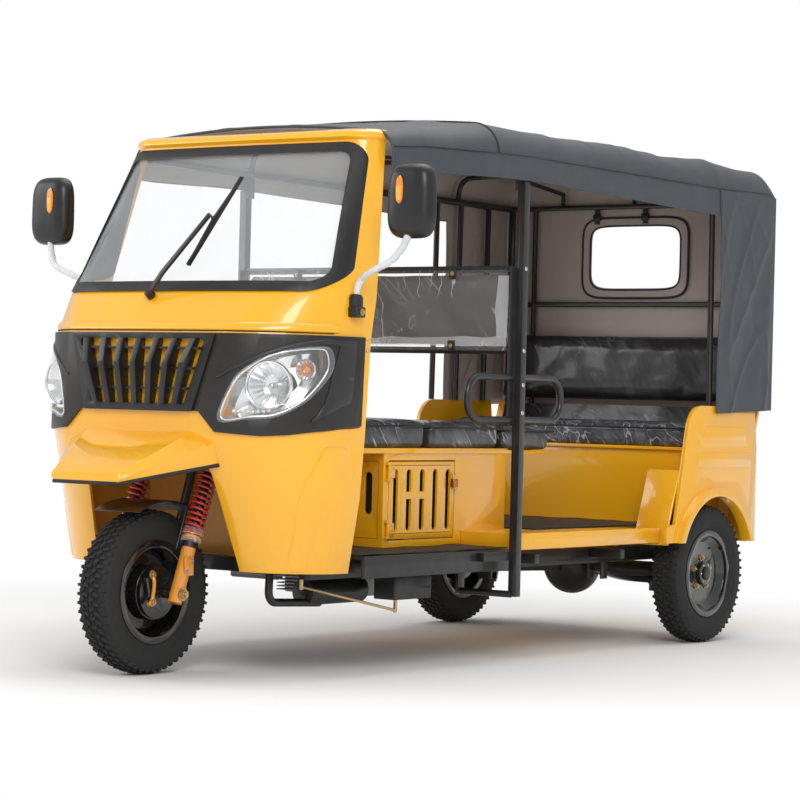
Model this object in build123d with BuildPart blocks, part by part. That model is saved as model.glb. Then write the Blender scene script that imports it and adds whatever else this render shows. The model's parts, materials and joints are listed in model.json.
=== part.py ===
from build123d import *

import os
from collections import namedtuple
from math import cos, radians, sin

# Auto rickshaw: one steered wheel in front, two driven wheels behind, an open
# cab with a moulded nose, and a passenger bay under a fabric canopy.
# Millimetres. X points to the vehicle's left, Y to its rear and Z up, with the
# origin on the ground under the middle of the vehicle's length.
# "Station" is the distance behind the front axle.

# ------------------------------------------------------------ driving sizes
WHEELBASE = 2664.0
NOSE_REACH = 304.0  # front axle to the tip of the mudguard
TAIL_REACH = 452.0  # rear axle to the back of the canopy
TRACK_HALF = 592.0  # centre line to the middle of a rear wheel

TYRE_RADIUS = 275.0
TYRE_WIDTH = 125.0
RIM_RADIUS = 173.0
RIM_WIDTH = 104.0
RIM_GAUGE = 5.0
HUB_RADIUS = 46.0
DRUM_RADIUS = 92.0
AXLE_RADIUS = 9.0
STUB_RADIUS = 20.0
SHAFT_CLEARANCE = 0.05  # radial, between a shaft and its bore
SEAT_GAP = 0.3  # between faces that rest on each other

FORK_RAKE = 20.0  # degrees back from vertical
FORK_OFFSET = 45.0  # steering axis behind the axle
FORK_HALF = 145.0  # centre line to a fork leg
SLIDER_RADIUS = 24.0
SLIDER_LENGTH = 240.0
SLIDER_DROP = 32.0  # below the axle
STANCHION_RADIUS = 16.0
SPRING_RADIUS = 32.0
SPRING_WIRE = 4.5
SPRING_TURNS = 11
CROWN_RISE = 478.0  # axle to the underside of the fork crown
CROWN_THICK = 20.0
STEM_RADIUS = 16.0
STEM_TOP = 940.0
HEAD_LENGTH = 120.0
HEAD_RADIUS = 30.0
BAR_HALF = 330.0
BAR_RADIUS = 11.0
GRIP_RADIUS = 17.0
GRIP_LENGTH = 120.0
FENDER_RADIUS = 304.0
FENDER_HALF = 98.0
FENDER_GAUGE = 4.0

CAB_WALL = 14.0
MASK_GAUGE = 10.0
GASKET_WIDTH = 34.0
GASKET_PROUD = 7.0
GLASS_GAUGE = 5.0
GRILLE_BARS = 7
GRILLE_BAR_WIDTH = 23.0
BEAK_GAUGE = 8.0

FLOOR_TOP = 410.0
FLOOR_GAUGE = 12.0
FLOOR_HALF = 605.0
FLOOR_FRONT = 420.0
SILL_DROP = 75.0
BAY_TOP = 465.0  # raised passenger floor
BAY_GAUGE = 60.0
BAY_FRONT = 1335.0
BAY_HALF = 612.0

ENGINE_HALF = 165.0
ENGINE_FRONT = 960.0
ENGINE_REAR = 1310.0

RAIL_X = 420.0
RAIL_WIDTH = 50.0
RAIL_TOP = FLOOR_TOP - FLOOR_GAUGE - 13.0
RAIL_HEIGHT = 60.0
RAIL_FRONT = 330.0
RAIL_REAR = 3010.0

BOX_HALF = 355.0
BOX_FRONT = 850.0
BOX_REAR = 1620.0
BOX_GAUGE = 10.0
PAN_TOP = 765.0
PAN_GAUGE = 18.0
PAN_FRONT = 690.0
CUSHION_DEPTH = 100.0
DRIVER_CUSHION_REAR = 1145.0
JUMP_REAR = 1960.0
JUMP_PLATE_REAR = 1880.0
DOOR_FRONT = 880.0
DOOR_REAR = 1290.0
DOOR_BOTTOM = 438.0
DOOR_TOP = 722.0
DOOR_GAUGE = 10.0
DOOR_CLEARANCE = 5.0
SLOT_WIDTH = 30.0
HINGE_PIN_RADIUS = 3.0
HINGE_BARREL_RADIUS = 7.0

POLE_X = 643.0
POLE_SIZE = 32.0
POLE_STATION = 1265.0
POLE_FOOT = 243.0
POLE_SHOULDER = 1728.0  # the pole is slimmer above this, inside the roof skin
RAIL_TUBE = 14.0  # radius of the roof's tubes
ROOF_RAIL_Z = 1788.0
ROOF_RAIL_X = 622.0
LOOP_FRONT = 957.0
LOOP_REAR = 1585.0
LOOP_LOW = 861.0
LOOP_HIGH = 1040.0
LOOP_RADIUS = 13.0

BENCH_FRONT = 2600.0
BENCH_REAR = 2930.0
BENCH_TOP = 765.0
BENCH_HALF = 620.0
BENCH_GAUGE = 10.0
LID_HALF = 596.0  # passes between the posts behind the doors
LID_GAUGE = 12.0
BACKREST_TOP = 1256.0
BACKREST_BOTTOM = 942.0  # just above the ledge of the tail panel
BACKREST_FRONT = 2985.0
BACKREST_LEAN = 27.0
BACKREST_THICK = 70.0

HOUSING_GAUGE = 8.0
HOUSING_TOP = 690.0

QUARTER_X = 660.0
QUARTER_GAUGE = 18.0
FLARE_PROUD = 30.0
ARCH_HALF = 262.0
ARCH_LOW = 405.0
ARCH_TOP = 585.0
QUARTER_REAR = 3010.0
QUARTER_TOP = 945.0

CANOPY_GAUGE = 10.0
CANOPY_SKIRT = 2650.0  # station where the side panels start
SKIRT_SEAM = 1800.0
WINDOW_HALF = 222.0
WINDOW_LOW = 1440.0
WINDOW_HIGH = 1710.0
WINDOW_CORNER = 60.0
SIDE_PANEL_LOW = 915.0

MIRROR_X = 802.0
MIRROR_STATION = 351.0
MIRROR_Z = 1588.0
MIRROR_WIDTH = 180.0
MIRROR_HEIGHT = 250.0
MIRROR_DEPTH = 62.0
MIRROR_ARM = 11.0
MIRROR_ARM_PATH = ((608.0, 330.0, 1262.0), (618.0, 343.0, 1330.0), (742.0, 318.0, 1372.0))

# --------------------------------------------------------- derived placings
OVERALL_LENGTH = NOSE_REACH + WHEELBASE + TAIL_REACH
FRONT_AXLE_Y = NOSE_REACH - OVERALL_LENGTH / 2
TAIL_STATION = WHEELBASE + TAIL_REACH
REAR_AXLE = WHEELBASE


def at(station):
    """Y of a station."""
    return FRONT_AXLE_Y + station


FORK_PLANE = Plane(
    origin=(0, FRONT_AXLE_Y, TYRE_RADIUS),
    x_dir=(1, 0, 0),
    z_dir=(0, sin(radians(FORK_RAKE)), cos(radians(FORK_RAKE))),
)


def across(station):
    """Upright plane across the vehicle, seen from the front, normal forward."""
    return Plane.XZ.offset(-at(station))


def beside(x):
    """Upright plane along the vehicle: its local x is Y, its local y is Z."""
    return Plane.YZ.offset(x)


# ---------------------------------------------------------------- helpers
def rod(start, end, radius, mode=Mode.ADD):
    """Add a round bar from one point to another to the part in hand."""
    run = Vector(*end) - Vector(*start)
    with BuildSketch(Plane(origin=start, z_dir=run)) as section:
        Circle(radius)
    extrude(section.sketch, amount=run.length, dir=run.normalized(), mode=mode)


def box(x_range, station_range, z_range, mode=Mode.ADD):
    """Add a box given by its limits in X, station and Z."""
    x_low, x_high = x_range
    s_low, s_high = station_range
    z_low, z_high = z_range
    with Locations(((x_low + x_high) / 2, at((s_low + s_high) / 2), (z_low + z_high) / 2)):
        Box(x_high - x_low, s_high - s_low, z_high - z_low, mode=mode)


def bent_tube(points, radius, bend):
    """Solid round tube along straight runs joined by arcs of one radius."""
    with BuildPart() as tube:
        with BuildLine() as path:
            FilletPolyline(*points, radius=bend)
        with BuildSketch(Plane(origin=path.line @ 0, z_dir=path.line % 0)):
            Circle(radius)
        sweep(path=path.line)
    return tube.part


def side_plate(outline, x_start, thickness, corner=0.0):
    """Plate whose outline is given as (station, Z) points, made from X outward."""
    with BuildPart() as plate:
        with BuildSketch(beside(x_start)) as sketch:
            with BuildLine():
                Polyline(*[(at(s), z) for s, z in outline], close=True)
            make_face()
            if corner:
                fillet(sketch.vertices(), corner)
        extrude(amount=thickness)
    return plate.part


def front_prism(outline, corner=0.0):
    """Bar running fore and aft through the cab, its outline in X and Z."""
    with BuildPart() as prism:
        with BuildSketch(across(PRISM_REAR)) as sketch:
            with BuildLine():
                Polyline(*outline, close=True)
            make_face()
            if corner:
                fillet(sketch.vertices(), corner)
        extrude(amount=PRISM_LENGTH)
    return prism.part


def finish(builder, name):
    """Label a finished piece and write its STEP file."""
    builder.part.label = name
    export_step(builder.part, f"parts/{name}.step")


os.makedirs("parts", exist_ok=True)

# ------------------------------------------------------------- cab surface
PRISM_REAR = 600.0
PRISM_LENGTH = 1080.0

# One row per level of the cab's skin, in plan: z, the station of the nose on
# the centre line, where the front turns into the corner, where the corner
# turns into the side, and the rear flange.
Level = namedtuple("Level", "z nose front_x front_s side_x side_s flange_x flange_s")
CAB_LEVELS = (
    Level(354, 100, 330, 118, 566, 292, 576, 365),
    Level(600, 22, 335, 38, 592, 312, 603, 383),
    Level(810, -54, 335, -40, 592, 334, 604, 402),
    Level(1140, -36, 335, -22, 604, 340, 614, 410),
    Level(1275, 78, 430, 110, 603, 378, 611, 439),
    Level(1812, 452, 420, 463, 532, 533, 538, 566),
)
BROW_LEVELS = (
    Level(1822, 438, 420, 449, 538, 524, 544, 574),
    Level(1840, 448, 415, 459, 534, 530, 541, 584),
    Level(1852, 486, 402, 494, 520, 546, 530, 588),
)
CORNER_BULGE = 0.16  # sagitta of the corner arc as a share of its chord


def nose_station(z):
    """Station of the cab's skin on the centre line at a height."""
    for low, high in zip(CAB_LEVELS, CAB_LEVELS[1:]):
        if low.z <= z <= high.z:
            return low.nose + (high.nose - low.nose) * (z - low.z) / (high.z - low.z)
    raise ValueError(f"{z} is off the cab's skin")


def cab_section(level, grow, reach, z):
    """Closed plan section of the cab's skin, grown outward and run on rearward."""
    front = Vector(level.front_x, at(level.front_s) - grow)
    side = Vector(level.side_x + grow, at(level.side_s))
    flange = Vector(level.flange_x + grow, at(level.flange_s))
    rear = flange + Vector(0, reach)
    chord = side - front
    middle = (front + side) * 0.5 + Vector(chord.Y, -chord.X) * CORNER_BULGE
    nose = Vector(0, at(level.nose) - grow)

    def other(point):
        return Vector(-point.X, point.Y)

    with BuildSketch(Plane.XY.offset(z)) as section:
        with BuildLine():
            ThreePointArc(other(front), nose, front)
            ThreePointArc(front, middle, side)
            if reach:
                Polyline(side, flange, rear, other(rear), other(flange), other(side))
            else:
                Polyline(side, flange, other(flange), other(side))
            ThreePointArc(other(side), other(middle), other(front))
        make_face()
    return section.sketch


def cab_solid(grow, reach=0.0, levels=CAB_LEVELS, drop=0.0):
    """Everything inside the cab's skin, grown outward by grow."""
    with BuildPart() as solid:
        if drop:
            add(cab_section(levels[0], grow, reach, levels[0].z - drop))
        for level in levels:
            add(cab_section(level, grow, reach, level.z))
        loft(ruled=True)
    return solid.part


OPEN_REACH = 80.0
outer_skin = cab_solid(0, levels=CAB_LEVELS + BROW_LEVELS)
inner_skin = cab_solid(-CAB_WALL, reach=OPEN_REACH, drop=40)

# Front-view outlines of what is let into the skin: (X, Z) of the left half,
# from the bottom up.
GLASS_HALF = ((597, 1284), (520, 1804))
GLASS_CORNER = 78.0
GRILLE_FRAME_HALF = ((236, 880), (316, 1139))
GRILLE_OPEN_HALF = ((204, 905), (275, 1120))
MASK_HALF = ((259, 882), (328, 816), (460, 806), (520, 811), (582, 827), (675, 890), (675, 1140))
MASK_REAR = 374.0  # the skin shows again behind this station
MOUTH_HALF = ((322, 300), (272, 722))
MOUTH_CORNER = 60.0
LAMP_OUTLINE = ((338, 858), (426, 864), (490, 873), (547, 924), (582, 1017), (582, 1094), (563, 1101),
                (478, 1077), (411, 1026), (376, 983))


def mirrored(half):
    """Closed outline from the points of its left half."""
    return list(half) + [(-x, z) for x, z in reversed(half)]


def inset_glass(inset):
    """Windshield outline drawn in by inset on every side."""
    (low_x, low_z), (high_x, high_z) = GLASS_HALF
    return front_prism(mirrored(((low_x - inset, low_z + inset), (high_x - inset, high_z - inset))),
                       GLASS_CORNER - inset)


glass_opening = inset_glass(0)
grille_opening = front_prism(mirrored(GRILLE_OPEN_HALF), 12)
lamp_left = front_prism(LAMP_OUTLINE, 6)
lamp_right = mirror(lamp_left, about=Plane.YZ)


def on_skin(x, z, proud=0.0):
    """Point of the cab's front at X and Z, stood off along the skin's normal."""
    point, normal = outer_skin.find_intersection_points(Axis((x, at(-PRISM_LENGTH), z), (0, 1, 0)))[0]
    return point + normal * proud if normal.Y < 0 else point - normal * proud


def skin_band(inner, outer):
    """Layer of the cab's skin between two offsets."""
    with BuildPart() as band:
        add(cab_solid(outer))
        add(cab_solid(inner, reach=OPEN_REACH, drop=40), mode=Mode.SUBTRACT)
    return band.part


with BuildPart() as cab_shell:
    add(outer_skin)
    add(inner_skin, mode=Mode.SUBTRACT)
    add(glass_opening, mode=Mode.SUBTRACT)
    add(lamp_left, mode=Mode.SUBTRACT)
    add(lamp_right, mode=Mode.SUBTRACT)
    add(front_prism(mirrored(MOUTH_HALF), MOUTH_CORNER), mode=Mode.SUBTRACT)
    box((-200, 200), (-200, 300), (300, 420), mode=Mode.SUBTRACT)
finish(cab_shell, "cab_shell")

with BuildPart() as cab_mask:
    add(skin_band(0, MASK_GAUGE))
    add(front_prism(mirrored(MASK_HALF)), mode=Mode.INTERSECT)
    box((-700, 700), (MASK_REAR, PRISM_REAR), (700, 1200), mode=Mode.SUBTRACT)
    add(grille_opening, mode=Mode.SUBTRACT)
    add(lamp_left, mode=Mode.SUBTRACT)
    add(lamp_right, mode=Mode.SUBTRACT)
finish(cab_mask, "cab_mask")

with BuildPart() as windshield_gasket:
    add(skin_band(-CAB_WALL, GASKET_PROUD))
    add(glass_opening, mode=Mode.INTERSECT)
    add(inset_glass(GASKET_WIDTH), mode=Mode.SUBTRACT)
finish(windshield_gasket, "windshield_gasket")

with BuildPart() as windshield:
    add(skin_band(-GLASS_GAUGE - 3, -3))
    add(inset_glass(GASKET_WIDTH), mode=Mode.INTERSECT)
finish(windshield, "windshield")

# Chevron bars: one V-section slab cut into upright bars that fan upward.
CHEVRON = ((nose_station(1124), 1124), (-60, 1120), (-89, 1040), (-76, 903), (nose_station(899), 899))  # station, z
CROSS_ROWS = (955.0, 1022.0, 1088.0)
CROSS_HEIGHT = 9.0
CROSS_BAR_DEPTH = 22.0
with BuildPart() as grille:
    bar_spread = [index - (GRILLE_BARS - 1) / 2 for index in range(GRILLE_BARS)]
    (low_half, low_z), (high_half, high_z) = GRILLE_OPEN_HALF
    bar_pitch_low = 2 * low_half / GRILLE_BARS
    bar_pitch_high = 2 * high_half / GRILLE_BARS
    for step in bar_spread:
        foot = step * bar_pitch_low
        head = step * bar_pitch_high
        half = GRILLE_BAR_WIDTH / 2
        add(front_prism(((foot - half, low_z), (foot + half, low_z), (head + half, high_z), (head - half, high_z))))
    add(side_plate(CHEVRON, -high_half, 2 * high_half), mode=Mode.INTERSECT)
    with BuildPart(mode=Mode.PRIVATE) as cross_bars:
        for row in CROSS_ROWS:
            back = nose_station(row - CROSS_HEIGHT / 2)
            box((-high_half, high_half), (back - CROSS_BAR_DEPTH, back), (row - CROSS_HEIGHT / 2, row + CROSS_HEIGHT / 2))
        add(grille_opening, mode=Mode.INTERSECT)
    add(cross_bars.part)
    with BuildPart(mode=Mode.PRIVATE) as grille_ring:
        add(skin_band(MASK_GAUGE, MASK_GAUGE + 8))
        add(front_prism(mirrored(GRILLE_FRAME_HALF), 10), mode=Mode.INTERSECT)
        add(grille_opening, mode=Mode.SUBTRACT)
    add(grille_ring.part)
finish(grille, "grille")

# Fixed mudguard under the nose, a hollow peak that runs out from the skin:
# X and Z of its left half inside the skin and at its tip: lower edge, outer
# corner and the ridge of the flat top.
BEAK_ROOT = ((350, 722), (370, 820), (267, 873))
BEAK_TIP = ((138, 643), (150, 657), (144, 675))
BEAK_ROOT_STATION = 60.0


def beak_solid(inset, tip_station):
    """Peak between its root and its tip, drawn in by inset, open below."""
    drop = 20.0 if inset else 0.0
    with BuildPart() as peak:
        for half, station in ((BEAK_ROOT, BEAK_ROOT_STATION), (BEAK_TIP, tip_station)):
            (low_x, low_z), (edge_x, edge_z), (ridge_x, ridge_z) = half
            points = (
                (low_x - inset, low_z - drop),
                (edge_x - inset, edge_z - inset * 0.4),
                (ridge_x - inset * 0.5, ridge_z - inset),
            )
            with BuildSketch(across(station)):
                with BuildLine():
                    Polyline(*mirrored(points), close=True)
                make_face()
        loft(ruled=True)
    return peak.part


with BuildPart() as beak:
    add(beak_solid(0, -NOSE_REACH))
    add(beak_solid(BEAK_GAUGE, BEAK_GAUGE - NOSE_REACH), mode=Mode.SUBTRACT)
    add(cab_solid(0, reach=OPEN_REACH), mode=Mode.SUBTRACT)
finish(beak, "beak")

# ------------------------------------------------------- inside of the cab
WELL_HALF = 335.0
WELL_TOP = 925.0
WELL_GAUGE = 8.0
WELL_REAR = 400.0
cab_room = cab_solid(-CAB_WALL, reach=OPEN_REACH + 60, drop=0)
WELL_LOW = RAIL_TOP + SEAT_GAP
WELL_OUTLINE = ((-100, WELL_LOW), (WELL_REAR, WELL_LOW), (WELL_REAR, 760), (350, WELL_TOP), (-100, WELL_TOP))
WELL_INNER = (
    (-120, 340),
    (WELL_REAR - WELL_GAUGE, 340),
    (WELL_REAR - WELL_GAUGE, 757),
    (345, WELL_TOP - WELL_GAUGE),
    (-120, WELL_TOP - WELL_GAUGE),
)
STEM_HOLE_RADIUS = 45.0
with BuildPart() as wheel_well:
    add(side_plate(WELL_OUTLINE, -WELL_HALF, 2 * WELL_HALF))
    add(side_plate(WELL_INNER, WELL_GAUGE - WELL_HALF, 2 * (WELL_HALF - WELL_GAUGE)), mode=Mode.SUBTRACT)
    add(cab_room, mode=Mode.INTERSECT)
    with Locations(FORK_PLANE.location):
        with Locations((0, FORK_OFFSET, CROWN_RISE + 120)):
            Cylinder(STEM_HOLE_RADIUS, 500, align=(Align.CENTER, Align.CENTER, Align.MIN), mode=Mode.SUBTRACT)
finish(wheel_well, "wheel_well")

with BuildPart() as headlamps:
    add(skin_band(-CAB_WALL - 12, MASK_GAUGE + 4))
    add(lamp_left + lamp_right, mode=Mode.INTERSECT)
    add(wheel_well.part, mode=Mode.SUBTRACT)
finish(headlamps, "headlamps")

DASH_OUTLINE = ((-100, 1180), (118, 1180), (140, 1150), (110, 1104), (-100, 1104))
with BuildPart() as dashboard:
    add(side_plate(DASH_OUTLINE, -470, 940))
    add(cab_room, mode=Mode.INTERSECT)
    with Locations((0, at(120), 1195)):
        Cylinder(62, 46, rotation=(-60, 0, 0))
finish(dashboard, "dashboard")

# ------------------------------------------------------------ wheels, axles
def tyre_at(x, station, builder_name):
    """Write one tyre: a ring with rounded shoulders round its rim."""
    half = TYRE_WIDTH / 2
    bead = RIM_WIDTH / 2 - RIM_GAUGE
    with BuildPart() as tyre:
        with BuildSketch(Plane((x, at(station), TYRE_RADIUS), x_dir=(1, 0, 0), z_dir=(0, -1, 0))):
            with BuildLine():
                Polyline((-bead, RIM_RADIUS - 14), (bead, RIM_RADIUS - 14), (bead, RIM_RADIUS + 6))
                ThreePointArc((bead, RIM_RADIUS + 6), (half, RIM_RADIUS + 52), (half - 8, TYRE_RADIUS - 22))
                ThreePointArc((half - 8, TYRE_RADIUS - 22), (half - 14, TYRE_RADIUS - 9), (half - 26, TYRE_RADIUS - 4))
                ThreePointArc((half - 26, TYRE_RADIUS - 4), (0, TYRE_RADIUS), (26 - half, TYRE_RADIUS - 4))
                ThreePointArc((26 - half, TYRE_RADIUS - 4), (14 - half, TYRE_RADIUS - 9), (8 - half, TYRE_RADIUS - 22))
                ThreePointArc((8 - half, TYRE_RADIUS - 22), (-half, RIM_RADIUS + 52), (-bead, RIM_RADIUS + 6))
                Line((-bead, RIM_RADIUS + 6), (-bead, RIM_RADIUS - 14))
            make_face()
        revolve(axis=Axis((x, at(station), TYRE_RADIUS), (1, 0, 0)))
    finish(tyre, builder_name)


def rim_profile(side, dish, hub_out, bore):
    """Half section of a rim with its disc and hub: (X from the middle, radius)."""
    half = RIM_WIDTH / 2
    well = RIM_RADIUS - 14 - RIM_GAUGE
    gauge = RIM_GAUGE
    outer = [
        (-half, RIM_RADIUS), (-half + gauge, RIM_RADIUS), (-half + gauge, RIM_RADIUS - 14),
        (half - gauge, RIM_RADIUS - 14), (half - gauge, RIM_RADIUS), (half, RIM_RADIUS),
        (half, well - gauge), (dish + 22 + gauge, well - gauge), (dish + gauge, well - 30),
        (dish + gauge, HUB_RADIUS), (hub_out, HUB_RADIUS), (hub_out, bore),
        (-half + 6, bore), (-half + 6, DRUM_RADIUS), (dish, DRUM_RADIUS), (dish, well - 28),
        (dish + 20, well - gauge), (-half, well - gauge),
    ]
    return [(side * x, r) for x, r in outer]


def rim_at(x, station, side, dish, hub_out, bore, builder_name):
    """Write one steel rim with its disc, hub and brake drum."""
    with BuildPart() as rim:
        with BuildSketch(Plane((x, at(station), TYRE_RADIUS), x_dir=(1, 0, 0), z_dir=(0, -1, 0))):
            with BuildLine():
                Polyline(*rim_profile(side, dish, hub_out, bore), close=True)
            make_face()
        revolve(axis=Axis((x, at(station), TYRE_RADIUS), (1, 0, 0)))
    finish(rim, builder_name)


tyre_at(0, 0, "front_tyre")
rim_at(0, 0, -1, 4, 42, AXLE_RADIUS + SHAFT_CLEARANCE, "front_rim")
for side, name in ((1, "left"), (-1, "right")):
    tyre_at(side * TRACK_HALF, REAR_AXLE, f"rear_tyre_{name}")
    rim_at(side * TRACK_HALF, REAR_AXLE, side, 12, 40, STUB_RADIUS + SHAFT_CLEARANCE, f"rear_rim_{name}")

# Rear axle: casing, differential, stub shafts, leaf springs and the shaft.
DIFF_RADIUS = 118.0
CASING_RADIUS = 34.0
CASING_HALF = TRACK_HALF - RIM_WIDTH / 2 - 8
LEAF_WIDTH = 50.0
LEAF_GAUGE = 26.0
LEAF_HALF = 480.0
LEAF_SAG = 62.0
SPRING_EYE_Z = RAIL_TOP - RAIL_HEIGHT - 34
with BuildPart() as rear_axle:
    rod((-CASING_HALF, at(REAR_AXLE), TYRE_RADIUS), (CASING_HALF, at(REAR_AXLE), TYRE_RADIUS), CASING_RADIUS)
    stub_end = TRACK_HALF + 36
    rod((-stub_end, at(REAR_AXLE), TYRE_RADIUS), (stub_end, at(REAR_AXLE), TYRE_RADIUS), STUB_RADIUS)
    with Locations((0, at(REAR_AXLE), TYRE_RADIUS)):
        Sphere(DIFF_RADIUS)
    rod((0, at(ENGINE_REAR + 6), RAIL_TOP - 70), (0, at(REAR_AXLE), TYRE_RADIUS), 24)
    for x in (-RAIL_X, RAIL_X):
        leaf_low = SPRING_EYE_Z - LEAF_SAG
        with BuildSketch(beside(x - LEAF_WIDTH / 2)):
            with BuildLine():
                ThreePointArc(
                    (at(REAR_AXLE - LEAF_HALF), SPRING_EYE_Z), (at(REAR_AXLE), leaf_low),
                    (at(REAR_AXLE + LEAF_HALF * 0.7), SPRING_EYE_Z - 22),
                )
                Line((at(REAR_AXLE + LEAF_HALF * 0.7), SPRING_EYE_Z - 22),
                     (at(REAR_AXLE + LEAF_HALF * 0.7), SPRING_EYE_Z - 22 + LEAF_GAUGE))
                ThreePointArc(
                    (at(REAR_AXLE + LEAF_HALF * 0.7), SPRING_EYE_Z - 22 + LEAF_GAUGE),
                    (at(REAR_AXLE), leaf_low + LEAF_GAUGE),
                    (at(REAR_AXLE - LEAF_HALF), SPRING_EYE_Z + LEAF_GAUGE * 0.4),
                )
                Line((at(REAR_AXLE - LEAF_HALF), SPRING_EYE_Z + LEAF_GAUGE * 0.4),
                     (at(REAR_AXLE - LEAF_HALF), SPRING_EYE_Z))
            make_face()
        extrude(amount=LEAF_WIDTH)
        box((x - 32, x + 32), (REAR_AXLE - 38, REAR_AXLE + 38), (leaf_low - 8, TYRE_RADIUS))
finish(rear_axle, "rear_axle")

# ------------------------------------------------------------------ chassis
CROSS_STATIONS = (350.0, 800.0, 1260.0, 1800.0, 2300.0)
REAR_CROSS_STATION = 2990.0
CROSS_DEPTH = 40.0
RAIL_LOW = RAIL_TOP - RAIL_HEIGHT
HEAD_LOW = 506.0
EYE_RADIUS = 12.0
EYE_THICK = 14.0
EYE_Z = RAIL_LOW + 22
EYE_STATION = RAIL_REAR + 38
OUTRIGGER_STATIONS = (480.0, 850.0, 1180.0, 1500.0, 2100.0)
NECK_TUBE = 15.0
NECK_FOOT = (190.0, 352.0)  # X and station
NECK_KNEE = (110.0, 370.0, 700.0)  # X, station, z
RAIL_INNER = RAIL_X - RAIL_WIDTH / 2
RAIL_OUTER = RAIL_X + RAIL_WIDTH / 2
with BuildPart() as chassis_rails:
    for x in (-RAIL_X, RAIL_X):
        box((x - RAIL_WIDTH / 2, x + RAIL_WIDTH / 2), (RAIL_FRONT, RAIL_REAR), (RAIL_LOW, RAIL_TOP))
        # spring hangers
        for station in (REAR_AXLE - LEAF_HALF, REAR_AXLE + LEAF_HALF * 0.7):
            box((x - 34, x - LEAF_WIDTH / 2), (station - 22, station + 22), (SPRING_EYE_Z - 30, RAIL_LOW + 4))
            box((x + LEAF_WIDTH / 2, x + 34), (station - 22, station + 22), (SPRING_EYE_Z - 30, RAIL_LOW + 4))
finish(chassis_rails, "chassis_rails")


def cross_bar(station):
    """Bar between the two rails."""
    box((-RAIL_INNER, RAIL_INNER), (station - CROSS_DEPTH / 2, station + CROSS_DEPTH / 2), (RAIL_LOW + 12, RAIL_TOP))


with BuildPart() as cross_members:
    for station in CROSS_STATIONS:
        cross_bar(station)
    # outriggers to the sills
    for station in OUTRIGGER_STATIONS:
        for side in (-1, 1):
            x_in, x_out = sorted((side * RAIL_OUTER, side * (FLOOR_HALF - 20)))
            box((x_in, x_out), (station - 15, station + 15), (RAIL_LOW + 24, RAIL_TOP))
finish(cross_members, "cross_members")

with BuildPart() as rear_cross_member:
    cross_bar(REAR_CROSS_STATION)
    # lashing eye
    with BuildSketch(beside(-EYE_THICK / 2)):
        with BuildLine():
            Polyline((at(RAIL_REAR - 30), RAIL_LOW + 14), (at(EYE_STATION + 26), RAIL_LOW + 14 - 24),
                     (at(EYE_STATION + 26), RAIL_TOP - 20), (at(RAIL_REAR - 30), RAIL_TOP), close=True)
        make_face()
        with Locations((at(EYE_STATION), EYE_Z)):
            Circle(EYE_RADIUS, mode=Mode.SUBTRACT)
    extrude(amount=EYE_THICK)
finish(rear_cross_member, "rear_cross_member")

with BuildPart() as steering_neck:
    # two tubes from the front cross member up to the steering head
    head_low = FORK_PLANE.from_local_coords(Vector(0, FORK_OFFSET, HEAD_LOW + 25))
    head_high = FORK_PLANE.from_local_coords(Vector(0, FORK_OFFSET, HEAD_LOW + HEAD_LENGTH - 25))
    for side in (-1, 1):
        foot = Vector(side * NECK_FOOT[0], at(NECK_FOOT[1]), RAIL_TOP - 20)
        knee = Vector(side * NECK_KNEE[0], at(NECK_KNEE[1]), NECK_KNEE[2])
        for start, end in ((foot, knee), (knee, head_low + Vector(side * 20, 12, 0)),
                           (knee, head_high + Vector(side * 20, 12, 0))):
            rod(tuple(start), tuple(end), NECK_TUBE)
        with Locations(tuple(knee)):
            Sphere(NECK_TUBE)
    head_axis = FORK_PLANE.offset(HEAD_LOW)
    with BuildSketch(head_axis):
        with Locations((0, FORK_OFFSET)):
            Circle(HEAD_RADIUS)
    extrude(amount=HEAD_LENGTH)
    with BuildSketch(head_axis.offset(-60)):
        with Locations((0, FORK_OFFSET)):
            Circle(STEM_RADIUS + SHAFT_CLEARANCE)
    extrude(amount=HEAD_LENGTH + 120, mode=Mode.SUBTRACT)
    add(cross_members.part, mode=Mode.SUBTRACT)
finish(steering_neck, "steering_neck")

with BuildPart() as cab_floor:
    box((-FLOOR_HALF, FLOOR_HALF), (FLOOR_FRONT, BAY_FRONT), (FLOOR_TOP - FLOOR_GAUGE, FLOOR_TOP))
    for side in (-1, 1):
        x_in, x_out = sorted((side * (FLOOR_HALF - 18), side * FLOOR_HALF))
        box((x_in, x_out), (FLOOR_FRONT, BAY_FRONT), (FLOOR_TOP - SILL_DROP, FLOOR_TOP - FLOOR_GAUGE))
finish(cab_floor, "cab_floor")

BAY_REAR = 2990.0
BAY_NECK = 2330.0  # where the floor narrows between the wheels
BAY_NECK_HALF = 495.0
with BuildPart() as bay_floor:
    box((-BAY_HALF, BAY_HALF), (BAY_FRONT, BAY_NECK), (BAY_TOP - BAY_GAUGE, BAY_TOP))
    box((BOX_GAUGE * 2 - BAY_HALF, BAY_HALF - BOX_GAUGE * 2), (BAY_FRONT + 10, BAY_NECK),
        (BAY_TOP - BAY_GAUGE, BAY_TOP - 12), mode=Mode.SUBTRACT)
    box((-BAY_NECK_HALF, BAY_NECK_HALF), (BAY_NECK - 10, BAY_REAR), (BAY_TOP - 12, BAY_TOP))
    # bearers down to the rails
    for station in (1420.0, 1900.0, 2290.0, 2900.0):
        box((-RAIL_X - 20, RAIL_X + 20), (station - 15, station + 15), (RAIL_TOP, BAY_TOP - 12))
    box((-BOX_HALF, BOX_HALF), (BAY_FRONT - 10, BOX_REAR), (BAY_TOP - BAY_GAUGE - 5, BAY_TOP + 5), mode=Mode.SUBTRACT)
finish(bay_floor, "bay_floor")

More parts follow.
